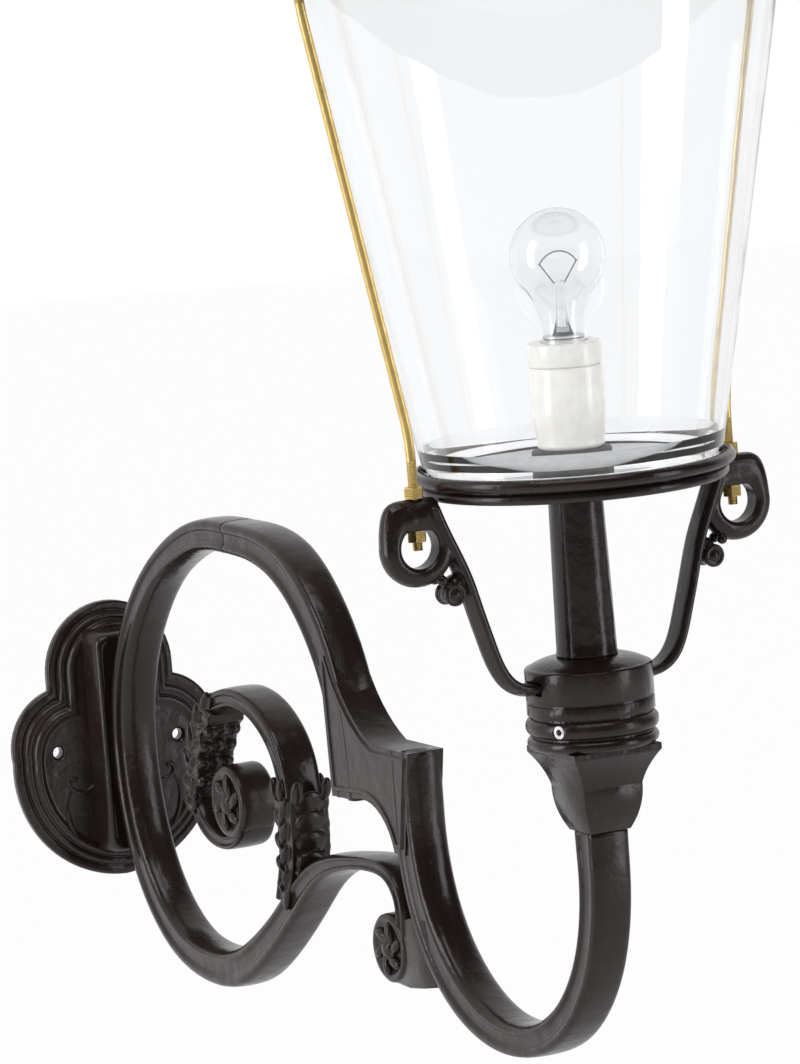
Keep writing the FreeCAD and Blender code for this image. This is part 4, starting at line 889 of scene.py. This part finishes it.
# ---------------------------------------------------------------- lamp holder
# Glazed porcelain body and ring, screwed together on a dark moulded seat over a pale painted plate. The
# cable's grommet and the gaskets under and over the glass are black rubber.

GLAZE_THICK = (0.86, 0.84, 0.79, 1)
GLAZE_THIN = (0.80, 0.77, 0.71, 1)
GLAZE_SPECK = (0.62, 0.56, 0.47, 1)


def make_porcelain():
    """Ivory-white glaze with faint speckle and soft pooling."""
    porcelain = Finish("porcelain", Coat_Weight=0.6, Coat_Roughness=0.06)
    pooled = porcelain.grain(9, 3.0)
    speck = porcelain.cells(2.3).ramp(0.04, 0.10)
    glaze = porcelain.mix(pooled.ramp(0.3, 0.7), GLAZE_THICK, GLAZE_THIN)
    porcelain.vary("Base Color", porcelain.mix(speck, GLAZE_SPECK, glaze))
    porcelain.vary("Roughness", 0.20 + pooled * 0.10)
    porcelain.relief((pooled, 0.10))
    return porcelain


def make_plain(name, dark, light, rough):
    """Plain moulding, rubber, paint or drawn metal: slightly mottled and finely pebbled."""
    plain = Finish(name)
    mottle = plain.grain(6, 4.0)
    pebble = plain.grain(0.8, 2.0)
    plain.vary("Base Color", plain.mix(mottle.ramp(0.35, 0.7), dark, light))
    plain.vary("Roughness", rough + mottle * 0.15)
    plain.relief((pebble, 0.05))
    return plain


make_porcelain().coat("holder_body", "holder_ring")
for name in ("holder_body", "holder_ring"):
    rounded(nodes[name], SOFT_EDGE, 2)
seat_finish = make_plain("dark_moulding", (0.02, 0.018, 0.017, 1), (0.035, 0.03, 0.028, 1), 0.45)
seat_finish.coat("holder_seat", "bulb_insulator")
rubber = make_plain("rubber", (0.016, 0.016, 0.017, 1), (0.03, 0.03, 0.03, 1), 0.65)
rubber.coat("cable_grommet", "glass_gasket", "top_gasket")
pale_paint = make_plain("pale_plate", (0.62, 0.63, 0.64, 1), (0.74, 0.74, 0.74, 1), 0.35)
pale_paint.coat("reflector_plate")


# ---------------------------------------------------------------- bulb
# Clear blown bulb with an aluminium screw cap, a glass stem and a fine tungsten arch. It screws into the
# shell inside the lamp holder.

def is_ray(finish, kind):
    """1 for rays of a kind: camera, glossy, transmission or shadow."""
    return finish.node("ShaderNodeLightPath", {}, {}, f"Is {kind} Ray")


def show_instead(finish, share, other):
    """Let another shader stand in for a finish's own, by a share from 0 to 1."""
    own = Amount(finish, finish.shader.outputs[0])
    blend = finish.node("ShaderNodeMixShader", {}, {0: share, 1: own, 2: other})
    finish.feed(finish.tree.nodes["Material Output"].inputs["Surface"], blend)


def make_glass(name, tint, wave, wave_depth, index):
    """Clear glass that lets light through to what it shades, with a slow unevenness from the mould."""
    glass = Finish(name, IOR=index, Transmission_Weight=1.0, Base_Color=tint)
    waves = glass.grain(wave, 1.0)
    seeds = glass.grain(3, 2.0, shift=4.0)
    glass.vary("Roughness", seeds * 0.012)
    glass.relief((waves, wave_depth))
    clear = glass.node("ShaderNodeBsdfTransparent", {}, {"Color": tint})
    show_instead(glass, is_ray(glass, "Shadow"), clear)
    return glass


bulb_glass = make_glass("bulb_glass", (0.97, 0.975, 0.98, 1), 14, 0.1, 1.45)
bulb_glass.coat("bulb_glass", "bulb_stem")
tungsten = make_plain("tungsten", (0.12, 0.12, 0.13, 1), (0.2, 0.2, 0.21, 1), 0.3)
tungsten.coat("bulb_filament")
lamp_cap = make_plain("lamp_cap", (0.60, 0.61, 0.62, 1), (0.72, 0.72, 0.73, 1), 0.25)
lamp_cap.shader.inputs["Metallic"].default_value = 1.0
lamp_cap.coat("bulb_cap", "bulb_contact")


# ---------------------------------------------------------------- lantern glass
# One tapered clear glass, open at both ends, with a thick moulded foot. It stands on a gasket in the
# gallery dish, and the top ring holds it down.

lantern_glass = make_glass("lantern_glass", (0.975, 0.982, 0.99, 1), 60, 0.35, 1.5)
lantern_glass.coat("glass_cone")


# ---------------------------------------------------------------- studio
# Pale floor far below, a white surround, three soft boxes and the camera at the photograph's angle. The
# surround is dim on the lamp's near side, so that dark enamel keeps its depth. Places here are in metres.

NEAR_SHADE = 0.05
FAR_SHADE = 0.85
FILL_LIGHT = 0.55


class Surround(Finish):
    """The world's own tree, fed in the same way as a surface's."""

    def __init__(self, world):
        world.use_nodes = True
        self.tree = world.node_tree
        self.shader = self.tree.nodes["Background"]

    def between(self, share, low, high):
        """Amount that goes from low to high as share goes from 0 to 1."""
        return self.node("ShaderNodeMix", {}, {0: share, 2: low, 3: high})


def make_surround():
    """White backdrop seen by the camera and through glass, with a dim near side for what mirrors it."""
    world = bpy.data.worlds.new("surround")
    bpy.context.scene.world = world
    surround = Surround(world)
    direction = surround.node("ShaderNodeTexCoord", {}, {}, "Generated")
    behind = surround.node("ShaderNodeSeparateXYZ", {}, {0: direction}, "Y").ramp(-0.15, 0.45)
    mirrored = surround.between(behind, NEAR_SHADE, FAR_SHADE)
    lit = surround.between(is_ray(surround, "Glossy"), FILL_LIGHT, mirrored)
    through = surround.between(is_ray(surround, "Transmission"), lit, 1.0)
    seen = surround.between(is_ray(surround, "Camera"), through, 1.0)
    surround.vary("Color", (1, 1, 1, 1))
    surround.vary("Strength", seen)


FLOOR_LEVEL = -0.9
FLOOR_RADIUS = 14.0
PAPER_DARK = (0.80, 0.80, 0.80, 1)
PAPER_LIGHT = (0.83, 0.83, 0.83, 1)
FLOOR_SEEN = 0.965


def make_floor():
    """Broad round floor of pale paper, well below the bracket, that keeps a soft shadow."""
    mesh = bmesh.new()
    rings = []
    for share in (0.01, 0.25, 0.5, 1.0):
        radius = FLOOR_RADIUS * share
        rings.append([Vector((radius * math.cos(angle), radius * math.sin(angle), FLOOR_LEVEL))
                      for angle in round_the(48)])
    floor_rings = bridge(mesh, rings, caps=False)
    mesh.faces.new(floor_rings[0])
    data = bpy.data.meshes.new("floor")
    mesh.to_mesh(data)
    mesh.free()
    floor = bpy.data.objects.new("floor", data)
    bpy.context.scene.collection.objects.link(floor)
    paper = Finish("floor_paper", Roughness=0.9)
    mottle = paper.grain(900, 2.0)
    paper.vary("Base Color", paper.mix(mottle, PAPER_DARK, PAPER_LIGHT))
    glow = paper.node("ShaderNodeEmission", {}, {"Strength": 1.0})
    behind = (paper.axis("Y") * MM).ramp(-0.2, 2.5, 0.06, 1.0)
    mirrored = is_ray(paper, "Glossy") * behind
    seen = is_ray(paper, "Camera").math("MAXIMUM", mirrored).math("MAXIMUM", is_ray(paper, "Transmission"))
    white = seen * FLOOR_SEEN
    show_instead(paper, white, glow)
    floor.data.materials.append(paper.material)


def soft_box(name, place, aim, width, height, watts):
    """Large even lamp at a place, facing an aim point."""
    light = bpy.data.lights.new(name, "AREA")
    light.shape = "RECTANGLE"
    light.size = width
    light.size_y = height
    light.energy = watts
    lamp = bpy.data.objects.new(name, light)
    bpy.context.scene.collection.objects.link(lamp)
    lamp.location = place
    lamp.rotation_mode = "QUATERNION"
    lamp.rotation_quaternion = (Vector(place) - Vector(aim)).to_track_quat("Z", "Y")


# Where the photograph was taken from, and how the camera was turned there, in degrees.
CAMERA_PLACE = (-1.7635, -3.9307, 0.7031)
CAMERA_AZIMUTH = -27.203
CAMERA_PITCH = 6.129
CAMERA_ROLL = -4.452
# Focal length, the frame's height and the row of the frame that the lens points at, in the frame's rows.
FOCAL_ROWS = 5962.4
FRAME_ROWS = 1064
MIDDLE_ROW = 390.15


def make_camera():
    """Camera of the photograph: a long lens, looking a little down, rolled, and shifted in its frame."""
    azimuth = math.radians(CAMERA_AZIMUTH)
    pitch = math.radians(CAMERA_PITCH)
    roll = math.radians(CAMERA_ROLL)
    ahead = math.cos(pitch)
    look = Vector((-math.sin(azimuth) * ahead, math.cos(azimuth) * ahead, -math.sin(pitch)))
    level_right = Vector((math.cos(azimuth), math.sin(azimuth), 0))
    level_up = level_right.cross(look)
    right = level_right * math.cos(roll) + level_up * math.sin(roll)
    up = level_up * math.cos(roll) - level_right * math.sin(roll)
    data = bpy.data.cameras.new("camera")
    camera = bpy.data.objects.new("camera", data)
    bpy.context.scene.collection.objects.link(camera)
    camera.matrix_world = Matrix((
        (right.x, up.x, -look.x, CAMERA_PLACE[0]),
        (right.y, up.y, -look.y, CAMERA_PLACE[1]),
        (right.z, up.z, -look.z, CAMERA_PLACE[2]),
        (0, 0, 0, 1)))
    data.lens = FOCAL_ROWS * data.sensor_width / FRAME_ROWS
    data.shift_y = (MIDDLE_ROW - FRAME_ROWS / 2) / FRAME_ROWS
    data.clip_end = 100
    bpy.context.scene.camera = camera


make_surround()
make_floor()
aim_point = (0, -0.5, 0.1)
soft_box("left_box", (-3.0, -0.4, 0.9), aim_point, 1.0, 3.0, 42)
soft_box("right_box", (2.3, -3.3, 0.3), aim_point, 0.9, 3.2, 27)
soft_box("top_box", (-0.4, -1.6, 3.0), aim_point, 2.4, 1.6, 32)
make_camera()
bpy.context.scene.view_settings.view_transform = "Standard"
